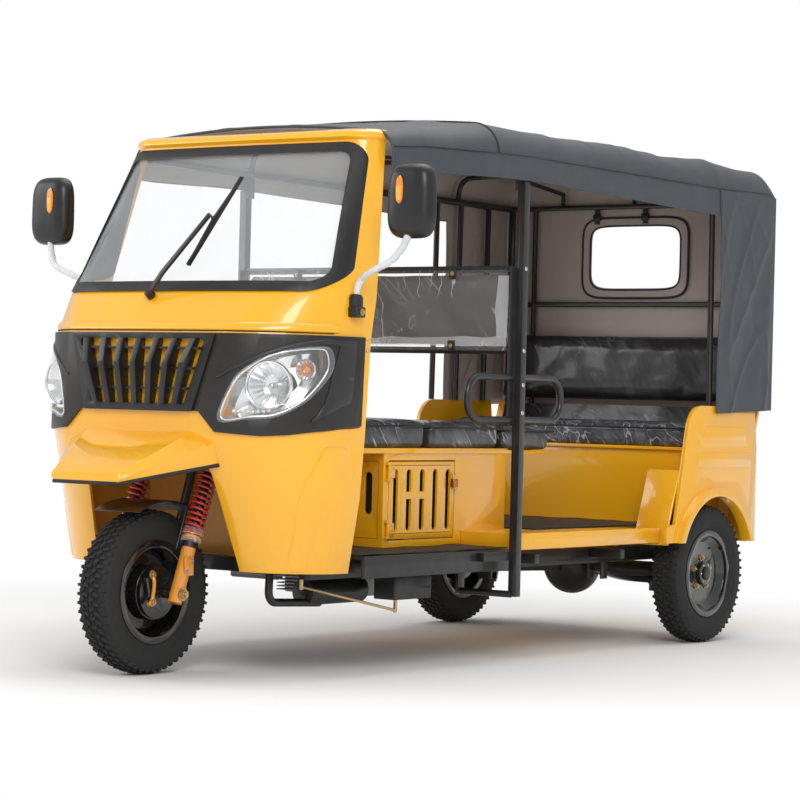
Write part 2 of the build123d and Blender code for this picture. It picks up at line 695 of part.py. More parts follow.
# ------------------------------------------------- seat box and louvred door
PIN_X = BOX_HALF + 8.5
PIN_STATION = DOOR_FRONT - 8.0
HINGE_ZS = (DOOR_BOTTOM + 40.0, DOOR_TOP - 40.0)
HINGE_LENGTH = 44.0
FRONT_SLOT_X = 290.0
FRONT_SLOT_Z = 604.0
FRONT_SLOT_HEIGHT = 150.0
FRONT_SLOT_WIDTH = 34.0
with BuildPart() as seat_box:
    box((-BOX_HALF, BOX_HALF), (BOX_FRONT, BOX_REAR), (FLOOR_TOP, PAN_TOP - PAN_GAUGE))
    box((BOX_GAUGE - BOX_HALF, BOX_HALF - BOX_GAUGE), (BOX_FRONT + BOX_GAUGE, BOX_REAR - BOX_GAUGE),
        (FLOOR_TOP - 10, PAN_TOP), mode=Mode.SUBTRACT)
    # door opening on the left, slots in the front
    box((BOX_HALF - 20, BOX_HALF + 5), (DOOR_FRONT, DOOR_REAR), (DOOR_BOTTOM, DOOR_TOP), mode=Mode.SUBTRACT)
    for x in (-FRONT_SLOT_X, FRONT_SLOT_X):
        with BuildSketch(across(BOX_FRONT + 20)):
            with Locations((x, FRONT_SLOT_Z)):
                SlotOverall(FRONT_SLOT_HEIGHT, FRONT_SLOT_WIDTH, rotation=90)
        extrude(amount=40, mode=Mode.SUBTRACT)
    # seat pan over the box, open in the middle above the engine
    box((-BOX_HALF - 8, BOX_HALF + 8), (PAN_FRONT, BOX_REAR), (PAN_TOP - PAN_GAUGE, PAN_TOP))
    box((-200, 200), (BOX_FRONT + 60, BOX_REAR - 60), (PAN_TOP - PAN_GAUGE - 5, PAN_TOP + 5), mode=Mode.SUBTRACT)
    # jump seat plate behind the box, on two brackets
    box((-BOX_HALF - 8, BOX_HALF + 8), (BOX_REAR, JUMP_PLATE_REAR), (PAN_TOP - PAN_GAUGE, PAN_TOP - 6))
    for x in (-180.0, 180.0):
        add(side_plate(((BOX_REAR - 5, 600), (JUMP_PLATE_REAR - 60, PAN_TOP - PAN_GAUGE + 2),
                        (BOX_REAR - 5, PAN_TOP - PAN_GAUGE + 2)), x - 3, 6))
    # door hinge ears
    for z in HINGE_ZS:
        for end in (-1, 1):
            z_mid = z + end * (HINGE_LENGTH / 2 + 6)
            box((BOX_HALF - 4, PIN_X + 6), (PIN_STATION - 14, PIN_STATION + 6), (z_mid - 5, z_mid + 5))
        rod((PIN_X, at(PIN_STATION), z - HINGE_LENGTH / 2 - 8), (PIN_X, at(PIN_STATION), z + HINGE_LENGTH / 2 + 8),
            HINGE_PIN_RADIUS)
finish(seat_box, "seat_box")

DOOR_SLOT_STATIONS = (925.0, 1005.0, 1086.0, 1166.0, 1247.0)
DOOR_SLOT_LOW = 470.0
DOOR_SLOT_HIGH = 690.0
DOOR_BRIDGE = ((980.0, 1110.0), (584.0, 610.0))  # stations, z
with BuildPart() as box_door:
    box((BOX_HALF - DOOR_GAUGE, BOX_HALF), (DOOR_FRONT + DOOR_CLEARANCE, DOOR_REAR - DOOR_CLEARANCE),
        (DOOR_BOTTOM + DOOR_CLEARANCE, DOOR_TOP - DOOR_CLEARANCE))
    slot_height = DOOR_SLOT_HIGH - DOOR_SLOT_LOW
    for station in DOOR_SLOT_STATIONS:
        with BuildSketch(beside(BOX_HALF - DOOR_GAUGE - 1)):
            with Locations((at(station), (DOOR_SLOT_LOW + DOOR_SLOT_HIGH) / 2)):
                SlotOverall(slot_height, SLOT_WIDTH, rotation=90)
        extrude(amount=DOOR_GAUGE + 2, mode=Mode.SUBTRACT)
    # bridge across the second and third slots
    box((BOX_HALF - DOOR_GAUGE, BOX_HALF), *DOOR_BRIDGE)
    # hinge barrels
    for z in HINGE_ZS:
        rod((PIN_X, at(PIN_STATION), z - HINGE_LENGTH / 2), (PIN_X, at(PIN_STATION), z + HINGE_LENGTH / 2),
            HINGE_BARREL_RADIUS)
        box((BOX_HALF + 1, PIN_X + 1), (PIN_STATION, DOOR_FRONT + 28), (z - HINGE_LENGTH / 2, z + HINGE_LENGTH / 2))
        box((BOX_HALF - 1, BOX_HALF + 2), (DOOR_FRONT + 10, DOOR_FRONT + 28), (z - HINGE_LENGTH / 2, z + HINGE_LENGTH / 2))
    for z in HINGE_ZS:
        rod((PIN_X, at(PIN_STATION), z - HINGE_LENGTH), (PIN_X, at(PIN_STATION), z + HINGE_LENGTH),
            HINGE_PIN_RADIUS + SHAFT_CLEARANCE, mode=Mode.SUBTRACT)
    # padlock on its hasp
    box((BOX_HALF, BOX_HALF + 14), (DOOR_REAR - 24, DOOR_REAR - 6), (620, 668))
finish(box_door, "box_door")


def cushion(station_range, half, z_range, radius, name):
    """Write one plain seat cushion with rounded edges."""
    with BuildPart() as pad:
        box((-half, half), station_range, z_range)
        fillet(pad.edges(), radius)
    finish(pad, name)


cushion((PAN_FRONT - 10, DRIVER_CUSHION_REAR - 1), BOX_HALF + 4, (PAN_TOP, PAN_TOP + CUSHION_DEPTH), 22,
        "driver_cushion")
cushion((DRIVER_CUSHION_REAR + 1, BOX_REAR - 1), BOX_HALF + 4, (PAN_TOP, PAN_TOP + CUSHION_DEPTH - 6), 22,
        "middle_cushion")
cushion((BOX_REAR + 1, JUMP_REAR), BOX_HALF + 4, (PAN_TOP - 6, PAN_TOP + CUSHION_DEPTH - 16), 22, "jump_cushion")

# ------------------------------------------------------------- rear bench
LID_PIN_STATION = BENCH_REAR + 8
LID_PIN_Z = BENCH_TOP + LID_GAUGE / 2
LID_HINGE_XS = (-380.0, 380.0)
with BuildPart() as bench_box:
    box((-BAY_NECK_HALF, BAY_NECK_HALF), (BENCH_FRONT, BENCH_FRONT + BENCH_GAUGE), (BAY_TOP, BENCH_TOP))
    for side in (-1, 1):
        x_in, x_out = sorted((side * (BAY_NECK_HALF - 10), side * BENCH_HALF))
        box((x_in, x_out), (BENCH_FRONT, BENCH_FRONT + BENCH_GAUGE), (HOUSING_TOP + SEAT_GAP, BENCH_TOP))
        x_in, x_out = sorted((side * BAY_NECK_HALF, side * (BAY_NECK_HALF - BENCH_GAUGE)))
        box((x_in, x_out), (BENCH_FRONT, BENCH_REAR), (BAY_TOP, BENCH_TOP))
    box((-BAY_NECK_HALF, BAY_NECK_HALF), (BENCH_REAR - BENCH_GAUGE, BENCH_REAR), (BAY_TOP, BENCH_TOP))
    for x in LID_HINGE_XS:
        for end in (-1, 1):
            x_mid = x + end * (HINGE_LENGTH / 2 + 6)
            box((x_mid - 5, x_mid + 5), (BENCH_REAR - BENCH_GAUGE, LID_PIN_STATION + 5), (BENCH_TOP - 30, LID_PIN_Z + 5))
        rod((x - HINGE_LENGTH / 2 - 8, at(LID_PIN_STATION), LID_PIN_Z),
            (x + HINGE_LENGTH / 2 + 8, at(LID_PIN_STATION), LID_PIN_Z), HINGE_PIN_RADIUS)
finish(bench_box, "bench_box")

with BuildPart() as bench_lid:
    box((-LID_HALF, LID_HALF), (BENCH_FRONT - 22, BENCH_REAR - 16), (BENCH_TOP + SEAT_GAP, BENCH_TOP + LID_GAUGE))
    for x in LID_HINGE_XS:
        ends = ((x - HINGE_LENGTH / 2, at(LID_PIN_STATION), LID_PIN_Z), (x + HINGE_LENGTH / 2, at(LID_PIN_STATION), LID_PIN_Z))
        rod(*ends, HINGE_BARREL_RADIUS)
        box((x - HINGE_LENGTH / 2, x + HINGE_LENGTH / 2), (BENCH_REAR - 24, LID_PIN_STATION), (LID_PIN_Z - 3, LID_PIN_Z + 5))
        rod(*ends, HINGE_PIN_RADIUS + SHAFT_CLEARANCE, mode=Mode.SUBTRACT)
finish(bench_lid, "bench_lid")

with BuildPart() as bench_cushion:
    box((-LID_HALF, LID_HALF), (BENCH_FRONT - 30, BENCH_REAR - 12),
        (BENCH_TOP + LID_GAUGE, BENCH_TOP + LID_GAUGE + CUSHION_DEPTH - 4))
    fillet(bench_cushion.edges(), 24)
finish(bench_cushion, "bench_cushion")

BACK_OUTLINE = (
    (BACKREST_FRONT, BACKREST_BOTTOM), (BACKREST_FRONT + BACKREST_THICK, BACKREST_BOTTOM),
    (BACKREST_FRONT + BACKREST_THICK + BACKREST_LEAN - 10, BACKREST_TOP), (BACKREST_FRONT + BACKREST_LEAN, BACKREST_TOP),
)
with BuildPart() as bench_backrest:
    add(side_plate(BACK_OUTLINE, -BENCH_HALF + 6, 2 * BENCH_HALF - 12, 18))
finish(bench_backrest, "bench_backrest")

# --------------------------------------------------------- quarter panels
EMBOSS_BLOCKS = ((2746, 832, 336, 60), (2745, 728, 433, 60))  # station, z, length, height
for side, name in ((1, "left"), (-1, "right")):
    x_inner = QUARTER_X - QUARTER_GAUGE if side > 0 else -QUARTER_X
    with BuildPart() as quarter:
        with BuildSketch(beside(x_inner)) as outline:
            with BuildLine():
                Polyline((at(REAR_AXLE - ARCH_HALF), ARCH_LOW), (at(2306), ARCH_LOW), (at(2306), BAY_TOP),
                         (at(2372), BAY_TOP + 15), (at(2452), 853))
                ThreePointArc((at(2452), 853), (at(2492), 922), (at(2560), QUARTER_TOP))
                Polyline((at(2560), QUARTER_TOP), (at(QUARTER_REAR - 25), QUARTER_TOP),
                         (at(QUARTER_REAR), 780), (at(QUARTER_REAR), ARCH_LOW - 5),
                         (at(REAR_AXLE + ARCH_HALF), ARCH_LOW - 5))
                ThreePointArc((at(REAR_AXLE + ARCH_HALF), ARCH_LOW - 5), (at(REAR_AXLE), ARCH_TOP),
                              (at(REAR_AXLE - ARCH_HALF), ARCH_LOW))
            make_face()
        extrude(amount=QUARTER_GAUGE)
        # arch flare
        flare_x = QUARTER_X if side > 0 else -QUARTER_X - FLARE_PROUD
        with BuildSketch(beside(flare_x)):
            with BuildLine():
                ThreePointArc((at(REAR_AXLE - ARCH_HALF - 34), ARCH_LOW), (at(REAR_AXLE), ARCH_TOP + 34),
                              (at(REAR_AXLE + ARCH_HALF + 34), ARCH_LOW - 5))
                Line((at(REAR_AXLE + ARCH_HALF + 34), ARCH_LOW - 5), (at(REAR_AXLE + ARCH_HALF), ARCH_LOW - 5))
                ThreePointArc((at(REAR_AXLE + ARCH_HALF), ARCH_LOW - 5), (at(REAR_AXLE), ARCH_TOP),
                              (at(REAR_AXLE - ARCH_HALF), ARCH_LOW))
                Line((at(REAR_AXLE - ARCH_HALF), ARCH_LOW), (at(REAR_AXLE - ARCH_HALF - 34), ARCH_LOW))
            make_face()
        extrude(amount=FLARE_PROUD)
        # pressed blocks
        for station, z, length, height in EMBOSS_BLOCKS:
            emboss_x = QUARTER_X if side > 0 else -QUARTER_X - 3
            with BuildSketch(beside(emboss_x)):
                with Locations((at(station), z)):
                    RectangleRounded(length, height, 14)
            extrude(amount=3)
    finish(quarter, f"quarter_panel_{name}")

HOUSING_OUTLINE = ((2340, BAY_TOP), (2420, HOUSING_TOP), (2985, HOUSING_TOP), (2985, 395), (2340, 395))
HOUSING_HOLLOW = ((2352, 380), (2352, BAY_TOP + 2), (2428, HOUSING_TOP - 10), (2977, HOUSING_TOP - 10), (2977, 380))
HOUSING_INNER = BAY_NECK_HALF + 1
HOUSING_OUTER = QUARTER_X - QUARTER_GAUGE
with BuildPart() as wheel_housings:
    for side in (-1, 1):
        start = HOUSING_INNER if side > 0 else -HOUSING_OUTER
        hollow_start = HOUSING_INNER + HOUSING_GAUGE if side > 0 else -HOUSING_OUTER - 5
        width = HOUSING_OUTER - HOUSING_INNER
        add(side_plate(HOUSING_OUTLINE, start, width))
        add(side_plate(HOUSING_HOLLOW, hollow_start, width - HOUSING_GAUGE + 5), mode=Mode.SUBTRACT)
finish(wheel_housings, "wheel_housings")

TAIL_GAUGE = 14.0
TAIL_BREAK = 780.0
TAIL_LEAN = 50.0
LEDGE_TOP = 940.0
LEDGE_REAR = TAIL_STATION - CANOPY_GAUGE - 1
TAIL_UPPER = (
    (QUARTER_REAR - TAIL_GAUGE, TAIL_BREAK - 20), (QUARTER_REAR, TAIL_BREAK - 20), (QUARTER_REAR, TAIL_BREAK),
    (QUARTER_REAR + TAIL_LEAN, LEDGE_TOP - 10), (LEDGE_REAR, LEDGE_TOP - 10), (LEDGE_REAR, LEDGE_TOP),
    (QUARTER_REAR + TAIL_LEAN - TAIL_GAUGE, LEDGE_TOP), (QUARTER_REAR - TAIL_GAUGE, TAIL_BREAK),
)
LAMP_X = 520.0
PLATE_Z = 560.0
PLATE_SPACING_X = 180.0
PLATE_SPACING_Z = 90.0
PLATE_HOLE = 3.5
with BuildPart() as tail_panel:
    box((-QUARTER_X + QUARTER_GAUGE, QUARTER_X - QUARTER_GAUGE), (QUARTER_REAR - TAIL_GAUGE, QUARTER_REAR),
        (ARCH_LOW - 5, 780))
    # upper part, leaning back to the ledge that the rear posts stand on
    add(side_plate(TAIL_UPPER, QUARTER_GAUGE - QUARTER_X, 2 * (QUARTER_X - QUARTER_GAUGE)))
    # plate carrier
    box((-130, 130), (QUARTER_REAR, QUARTER_REAR + 12), (PLATE_Z - 75, PLATE_Z + 75))
    with BuildSketch(across(QUARTER_REAR + 30)):
        with GridLocations(PLATE_SPACING_X, PLATE_SPACING_Z, 2, 2):
            with Locations((0, PLATE_Z)):
                Circle(PLATE_HOLE)
    extrude(amount=60, mode=Mode.SUBTRACT)
finish(tail_panel, "tail_panel")

with BuildPart() as tail_lamps:
    for x in (-LAMP_X, LAMP_X):
        with BuildSketch(across(QUARTER_REAR + 34)):
            with Locations((x, 655)):
                RectangleRounded(96, 170, 26)
        extrude(amount=34)
finish(tail_lamps, "tail_lamps")

# --------------------------------------------------------------- roof frame
STEP_Z = 252.0
for side, name in ((1, "left"), (-1, "right")):
    x = side * POLE_X
    with BuildPart() as side_pole:
        box((x - POLE_SIZE / 2, x + POLE_SIZE / 2), (POLE_STATION - POLE_SIZE / 2, POLE_STATION + POLE_SIZE / 2),
            (POLE_FOOT, POLE_SHOULDER))
        head_in, head_out = sorted((side * (ROOF_RAIL_X - 8), side * (POLE_X - 1)))
        box((head_in, head_out), (POLE_STATION - POLE_SIZE / 2, POLE_STATION + POLE_SIZE / 2),
            (POLE_SHOULDER - 30, ROOF_RAIL_Z))
        rod((side * ROOF_RAIL_X, at(POLE_STATION - 100), ROOF_RAIL_Z), (side * ROOF_RAIL_X, at(POLE_STATION + 100), ROOF_RAIL_Z),
            RAIL_TUBE, mode=Mode.SUBTRACT)
        loop_x = x - side * (POLE_SIZE / 2 + LOOP_RADIUS - 7)
        loop_mid = (LOOP_LOW + LOOP_HIGH) / 2
        loop_points = [
            (loop_x, at(POLE_STATION), LOOP_LOW + LOOP_RADIUS), (loop_x, at(LOOP_REAR - LOOP_RADIUS), LOOP_LOW + LOOP_RADIUS),
            (loop_x, at(LOOP_REAR - LOOP_RADIUS), LOOP_HIGH - LOOP_RADIUS), (loop_x, at(POLE_STATION), LOOP_HIGH - LOOP_RADIUS),
        ]
        add(bent_tube(loop_points, LOOP_RADIUS, 70))
        loop_front = [
            (loop_x, at(POLE_STATION), LOOP_LOW + LOOP_RADIUS), (loop_x, at(LOOP_FRONT + LOOP_RADIUS), LOOP_LOW + LOOP_RADIUS),
            (loop_x, at(LOOP_FRONT + LOOP_RADIUS), LOOP_HIGH - LOOP_RADIUS), (loop_x, at(POLE_STATION), LOOP_HIGH - LOOP_RADIUS),
        ]
        add(bent_tube(loop_front, LOOP_RADIUS, 70))
        # flat strap beside the pole between the loop's two runs
        strap_in, strap_out = sorted((x - side * POLE_SIZE / 2, x - side * (POLE_SIZE / 2 + 6)))
        box((strap_in, strap_out), (POLE_STATION - 48, POLE_STATION - 14), (LOOP_LOW - 6, LOOP_HIGH + 380))
        # outrigger to the sill and the step tube to the frame
        sill_in, sill_out = sorted((side * FLOOR_HALF, side * (FLOOR_HALF + 26)))
        box((sill_in, sill_out), (POLE_STATION - 180, POLE_STATION + 10), (372, 404))
        rod((side * RAIL_X, at(POLE_STATION - 20), STEP_Z), (x, at(POLE_STATION - 20), STEP_Z), 12)
        hang_in, hang_out = sorted((side * (RAIL_X - 6), side * (RAIL_X + 6)))
        box((hang_in, hang_out), (POLE_STATION - 40, POLE_STATION), (STEP_Z - 8, RAIL_LOW))
    finish(side_pole, f"side_pole_{name}")

# Stations of the uprights behind the doors, one row per side: X sign, stations.
REAR_POST_STATION = TAIL_STATION - CANOPY_GAUGE - RAIL_TUBE - 4
POST_ROWS = ((1, (2660.0, 2885.0)), (-1, (2515.0, 2690.0, 2900.0)))
BOW_STATIONS = (POLE_STATION, 1960.0, 2660.0)
BOW_TOP = 1912.0
PURLIN_XS = (-360.0, 0.0, 360.0)
PURLIN_FRONT_Z = 1842.0
POST_FOOT = QUARTER_TOP
WALL_POST_X = 500.0
MID_RAIL_Z = 1370.0
BACK_RAIL_ZS = (975.0, 1180.0)
BACK_TAB_XS = (-300.0, 300.0)
with BuildPart() as roof_frame:
    for side in (-1, 1):
        x = side * ROOF_RAIL_X
        rod((x, at(POLE_STATION - 30), ROOF_RAIL_Z), (x, at(REAR_POST_STATION), ROOF_RAIL_Z), RAIL_TUBE)
        rod((side * 556, at(605), ROOF_RAIL_Z), (x, at(POLE_STATION - 30), ROOF_RAIL_Z), RAIL_TUBE)
        with Locations((x, at(POLE_STATION - 30), ROOF_RAIL_Z)):
            Sphere(RAIL_TUBE + 2)
        rod((x, at(REAR_POST_STATION), LEDGE_TOP), (x, at(REAR_POST_STATION), ROOF_RAIL_Z), RAIL_TUBE)
        rod((side * WALL_POST_X, at(REAR_POST_STATION), LEDGE_TOP), (side * WALL_POST_X, at(REAR_POST_STATION), ROOF_RAIL_Z), 11)
    # tabs that carry the rear backrest
    for x in BACK_TAB_XS:
        for z in BACK_RAIL_ZS:
            box((x - 20, x + 20), (BENCH_REAR + 90, REAR_POST_STATION), (z - 8, z + 8))
    add(bench_backrest.part, mode=Mode.SUBTRACT)
    for z in (ROOF_RAIL_Z, MID_RAIL_Z, *BACK_RAIL_ZS):
        rod((-ROOF_RAIL_X, at(REAR_POST_STATION), z), (ROOF_RAIL_X, at(REAR_POST_STATION), z), 11)
    for side, stations in POST_ROWS:
        for station in stations:
            rod((side * (ROOF_RAIL_X + 8), at(station), POST_FOOT), (side * ROOF_RAIL_X, at(station), ROOF_RAIL_Z), 12)
    for station in BOW_STATIONS:
        add(bent_tube([(-ROOF_RAIL_X, at(station), ROOF_RAIL_Z), (-ROOF_RAIL_X + 20, at(station), BOW_TOP - 24),
                       (0, at(station), BOW_TOP), (ROOF_RAIL_X - 20, at(station), BOW_TOP - 24),
                       (ROOF_RAIL_X, at(station), ROOF_RAIL_Z)], 11, 60))
    for x in PURLIN_XS:
        purlin_z = BOW_TOP - abs(x) * 0.05
        rod((x, at(POLE_STATION), purlin_z), (x, at(BOW_STATIONS[-1]), purlin_z), 9)
        rod((x, at(BOW_STATIONS[-1]), purlin_z), (x, at(REAR_POST_STATION), ROOF_RAIL_Z + 60), 9)
        rod((x, at(REAR_POST_STATION), ROOF_RAIL_Z + 60), (x, at(REAR_POST_STATION), ROOF_RAIL_Z), 9)
        rod((x, at(POLE_STATION), purlin_z), (x, at(605), PURLIN_FRONT_Z), 9)
finish(roof_frame, "roof_frame")

BAR_HALF_SPAN = POLE_X - POLE_SIZE / 2
with BuildPart() as backrest_bars:
    for z in (1122.0, 1416.0):
        box((-BAR_HALF_SPAN, BAR_HALF_SPAN), (POLE_STATION - 12, POLE_STATION + 12), (z - 12, z + 12))
finish(backrest_bars, "backrest_bars")

with BuildPart() as driver_backrest:
    box((-BAR_HALF_SPAN + 16, BAR_HALF_SPAN - 16), (POLE_STATION - 18, POLE_STATION + 14), (1134, 1404))
    fillet(driver_backrest.edges().filter_by(Axis.Y), 14)
finish(driver_backrest, "driver_backrest")

# ------------------------------------------------------------------ canopy
# One row per frame of the roof skin: station, half width, valance edge, seam,
# shoulder, crown.
Hoop = namedtuple("Hoop", "station half valance seam shoulder crown")
HOOPS = (
    Hoop(555, 575, 1713, 1790, 1846, 1872),
    Hoop(700, 625, 1718, 1802, 1884, 1908),
    Hoop(1265, 660, 1735, 1814, 1930, 1952),
    Hoop(2660, 660, 1705, 1810, 1934, 1954),
    Hoop(3060, 660, 1705, 1818, 1918, 1938),
    Hoop(3116, 657, 1705, 1800, 1870, 1890),
)
SHOULDER_IN = 96.0


def hoop_sketch(hoop, inset, station):
    """Section of the roof across the vehicle, drawn in by inset."""
    half = hoop.half - inset
    seam = hoop.seam
    shoulder = Vector(hoop.half - SHOULDER_IN, hoop.shoulder - inset)
    low = hoop.valance - (20 if inset else 0)
    corner = Vector(half, seam)
    chord = shoulder - corner
    middle = (corner + shoulder) * 0.5 + Vector(chord.Y, -chord.X) * 0.17

    def other(point):
        return Vector(-point.X, point.Y)

    with BuildSketch(across(station)) as section:
        with BuildLine():
            Polyline(other(corner), (-half, low), (half, low), corner)
            ThreePointArc(corner, middle, shoulder)
            ThreePointArc(shoulder, (0, hoop.crown - inset), other(shoulder))
            ThreePointArc(other(shoulder), other(middle), other(corner))
        make_face()
    return section.sketch


def canopy_solid(inset):
    """Everything under the roof skin, drawn in by inset."""
    with BuildPart() as solid:
        for hoop in HOOPS:
            station = hoop.station
            if inset:
                station = {HOOPS[0]: station - 30, HOOPS[-1]: TAIL_STATION - inset}.get(hoop, station)
            add(hoop_sketch(hoop, inset, station))
        loft(ruled=True)
    return solid.part


cab_block = cab_solid(2, levels=CAB_LEVELS + BROW_LEVELS)
with BuildPart() as canopy_roof:
    add(canopy_solid(0))
    add(canopy_solid(CANOPY_GAUGE), mode=Mode.SUBTRACT)
    box((-800, 800), (CANOPY_SKIRT, TAIL_STATION + 20), (1500, SKIRT_SEAM), mode=Mode.SUBTRACT)
    add(cab_block, mode=Mode.SUBTRACT)
finish(canopy_roof, "canopy_roof")

SIDE_PANEL_OUTLINE = (
    (CANOPY_SKIRT, SIDE_PANEL_LOW), (TAIL_STATION, SIDE_PANEL_LOW + 18), (TAIL_STATION, SKIRT_SEAM + 8),
    (CANOPY_SKIRT, SKIRT_SEAM + 8),
)
SIDE_X = 660.0
SIDE_GAUGE = 7.0
for side, name in ((1, "left"), (-1, "right")):
    with BuildPart() as canopy_side:
        start = SIDE_X if side > 0 else -SIDE_X - SIDE_GAUGE
        add(side_plate(SIDE_PANEL_OUTLINE, start, SIDE_GAUGE))
    finish(canopy_side, f"canopy_side_{name}")

with BuildPart() as canopy_rear:
    box((-SIDE_X, SIDE_X), (TAIL_STATION - CANOPY_GAUGE, TAIL_STATION), (SIDE_PANEL_LOW + 18, SKIRT_SEAM))
    with BuildSketch(across(TAIL_STATION + 20)):
        with Locations((0, (WINDOW_LOW + WINDOW_HIGH) / 2)):
            RectangleRounded(2 * WINDOW_HALF, WINDOW_HIGH - WINDOW_LOW, WINDOW_CORNER)
    extrude(amount=60, mode=Mode.SUBTRACT)
finish(canopy_rear, "canopy_rear")

# ------------------------------------------------------- mirrors and wiper
for side, name in ((1, "left"), (-1, "right")):
    with BuildPart() as door_mirror:
        with BuildSketch(across(MIRROR_STATION + MIRROR_DEPTH / 2)):
            with Locations((side * MIRROR_X, MIRROR_Z)):
                RectangleRounded(MIRROR_WIDTH, MIRROR_HEIGHT, 46)
        extrude(amount=MIRROR_DEPTH)
        front_edges = door_mirror.faces().sort_by(Axis.Y)[0].edges()
        fillet(front_edges, 22)
        arm = [(side * x, at(station), z) for x, station, z in MIRROR_ARM_PATH]
        arm.append((side * MIRROR_X, at(MIRROR_STATION), MIRROR_Z - MIRROR_HEIGHT / 2 + 20))
        add(bent_tube(arm, MIRROR_ARM, 26))
        rod((side * 606, at(328), 1207), (side * 606, at(328), 1281), 20)
        add(cab_solid(0), mode=Mode.SUBTRACT)
    finish(door_mirror, f"mirror_{name}")

WIPER_PIVOT_AT = (-57, 1262)  # X, Z
WIPER_ELBOW_AT = (186, 1536)
BLADE_AT = ((83, 1369), (308, 1659))
with BuildPart() as wiper:
    pivot_low = on_skin(*WIPER_PIVOT_AT, proud=-4)
    pivot_high = on_skin(*WIPER_PIVOT_AT, proud=26)
    elbow = on_skin(*WIPER_ELBOW_AT, proud=GASKET_PROUD + 20)
    blade_ends = [on_skin(x, z, proud=GASKET_PROUD + 9) for x, z in BLADE_AT]
    rod(tuple(pivot_low), tuple(pivot_high), 14)
    rod(tuple(on_skin(*WIPER_PIVOT_AT, proud=20)), tuple(elbow), 6)
    rod(tuple(blade_ends[0]), tuple(blade_ends[1]), 7)
    rod(tuple((blade_ends[0] + blade_ends[1]) * 0.5), tuple(elbow), 5)
    add(outer_skin, mode=Mode.SUBTRACT)
finish(wiper, "wiper")

# ------------------------------------------------------------ fork and bars
def leg_points(side, low, high):
    """Two points on a fork leg's axis, measured along the leg from the axle."""
    return [tuple(FORK_PLANE.from_local_coords(Vector(side * FORK_HALF, 0, t))) for t in (low, high)]


SLIDER_TOP = SLIDER_LENGTH - SLIDER_DROP
with BuildPart() as fork_sliders:
    for side in (-1, 1):
        rod(*leg_points(side, -SLIDER_DROP, SLIDER_TOP), SLIDER_RADIUS)
        rod(*leg_points(side, SLIDER_TOP - 16, SLIDER_TOP), SPRING_RADIUS + 3)
    rod((-FORK_HALF - 38, at(0), TYRE_RADIUS), (FORK_HALF + 38, at(0), TYRE_RADIUS), AXLE_RADIUS)
finish(fork_sliders, "fork_sliders")

with BuildPart() as fork_crown:
    for side in (-1, 1):
        rod(*leg_points(side, SLIDER_TOP, CROWN_RISE + CROWN_THICK), STANCHION_RADIUS)
    with BuildSketch(FORK_PLANE.offset(CROWN_RISE)):
        with Locations((0, FORK_OFFSET * 0.4)):
            RectangleRounded(2 * FORK_HALF + 50, 92, 25)
    extrude(amount=CROWN_THICK)
    with BuildSketch(FORK_PLANE.offset(CROWN_RISE)):
        with Locations((0, FORK_OFFSET)):
            Circle(STEM_RADIUS)
    extrude(amount=STEM_TOP - CROWN_RISE)
finish(fork_crown, "fork_crown")

SPRING_LOW = SLIDER_TOP
SPRING_HIGH = CROWN_RISE
SPRING_CORE = SPRING_RADIUS - 1.6 * SPRING_WIRE
with BuildPart() as fork_springs:
    pitch = (SPRING_HIGH - SPRING_LOW) / SPRING_TURNS
    for side in (-1, 1):
        leg = Plane(origin=leg_points(side, SPRING_LOW, SPRING_HIGH)[0], x_dir=(1, 0, 0), z_dir=FORK_PLANE.y_dir * -1)
        with BuildSketch(leg) as turns:
            with BuildLine():
                Polyline((SPRING_CORE, SPRING_HIGH - SPRING_LOW), (STANCHION_RADIUS, SPRING_HIGH - SPRING_LOW),
                         (STANCHION_RADIUS, 0), (SPRING_CORE, 0))
                for turn in range(SPRING_TURNS):
                    low = turn * pitch
                    ThreePointArc((SPRING_CORE, low), (SPRING_RADIUS, low + pitch / 2), (SPRING_CORE, low + pitch))
            make_face()
        revolve(axis=Axis(leg.origin, FORK_PLANE.z_dir))
finish(fork_springs, "fork_springs")

FENDER_FRONT_ANGLE = 118.0
FENDER_REAR_ANGLE = 62.0
STAY_X = FENDER_HALF - 2
with BuildPart() as inner_fender:
    with BuildSketch(beside(-FENDER_HALF)):
        with Locations((FRONT_AXLE_Y, TYRE_RADIUS)):
            Circle(FENDER_RADIUS + FENDER_GAUGE)
            Circle(FENDER_RADIUS, mode=Mode.SUBTRACT)
        with BuildLine():
            centre = Vector(FRONT_AXLE_Y, TYRE_RADIUS)
            wedge = [centre + Vector(cos(radians(angle)), sin(radians(angle))) * 700
                     for angle in (FENDER_FRONT_ANGLE, FENDER_REAR_ANGLE)]
            Polyline(centre, *wedge, close=True)
        make_face(mode=Mode.INTERSECT)
    extrude(amount=2 * FENDER_HALF)
    for side in (-1, 1):
        low = FORK_PLANE.from_local_coords(Vector(side * (STAY_X - 5), 0, SLIDER_TOP - 60))
        high = FORK_PLANE.from_local_coords(Vector(side * (STAY_X - 5), 0, FENDER_RADIUS + 2))
        rod(tuple(low), tuple(high), 5)
        lug_in = FORK_PLANE.from_local_coords(Vector(side * (STAY_X - 9), 0, SLIDER_TOP - 60))
        lug_out = FORK_PLANE.from_local_coords(Vector(side * (FORK_HALF - SLIDER_RADIUS + 2), 0, SLIDER_TOP - 60))
        rod(tuple(lug_in), tuple(lug_out), 8)
    for side in (-1, 1):
        rod(*leg_points(side, -SLIDER_DROP, SLIDER_TOP), SLIDER_RADIUS, mode=Mode.SUBTRACT)
finish(inner_fender, "inner_fender")

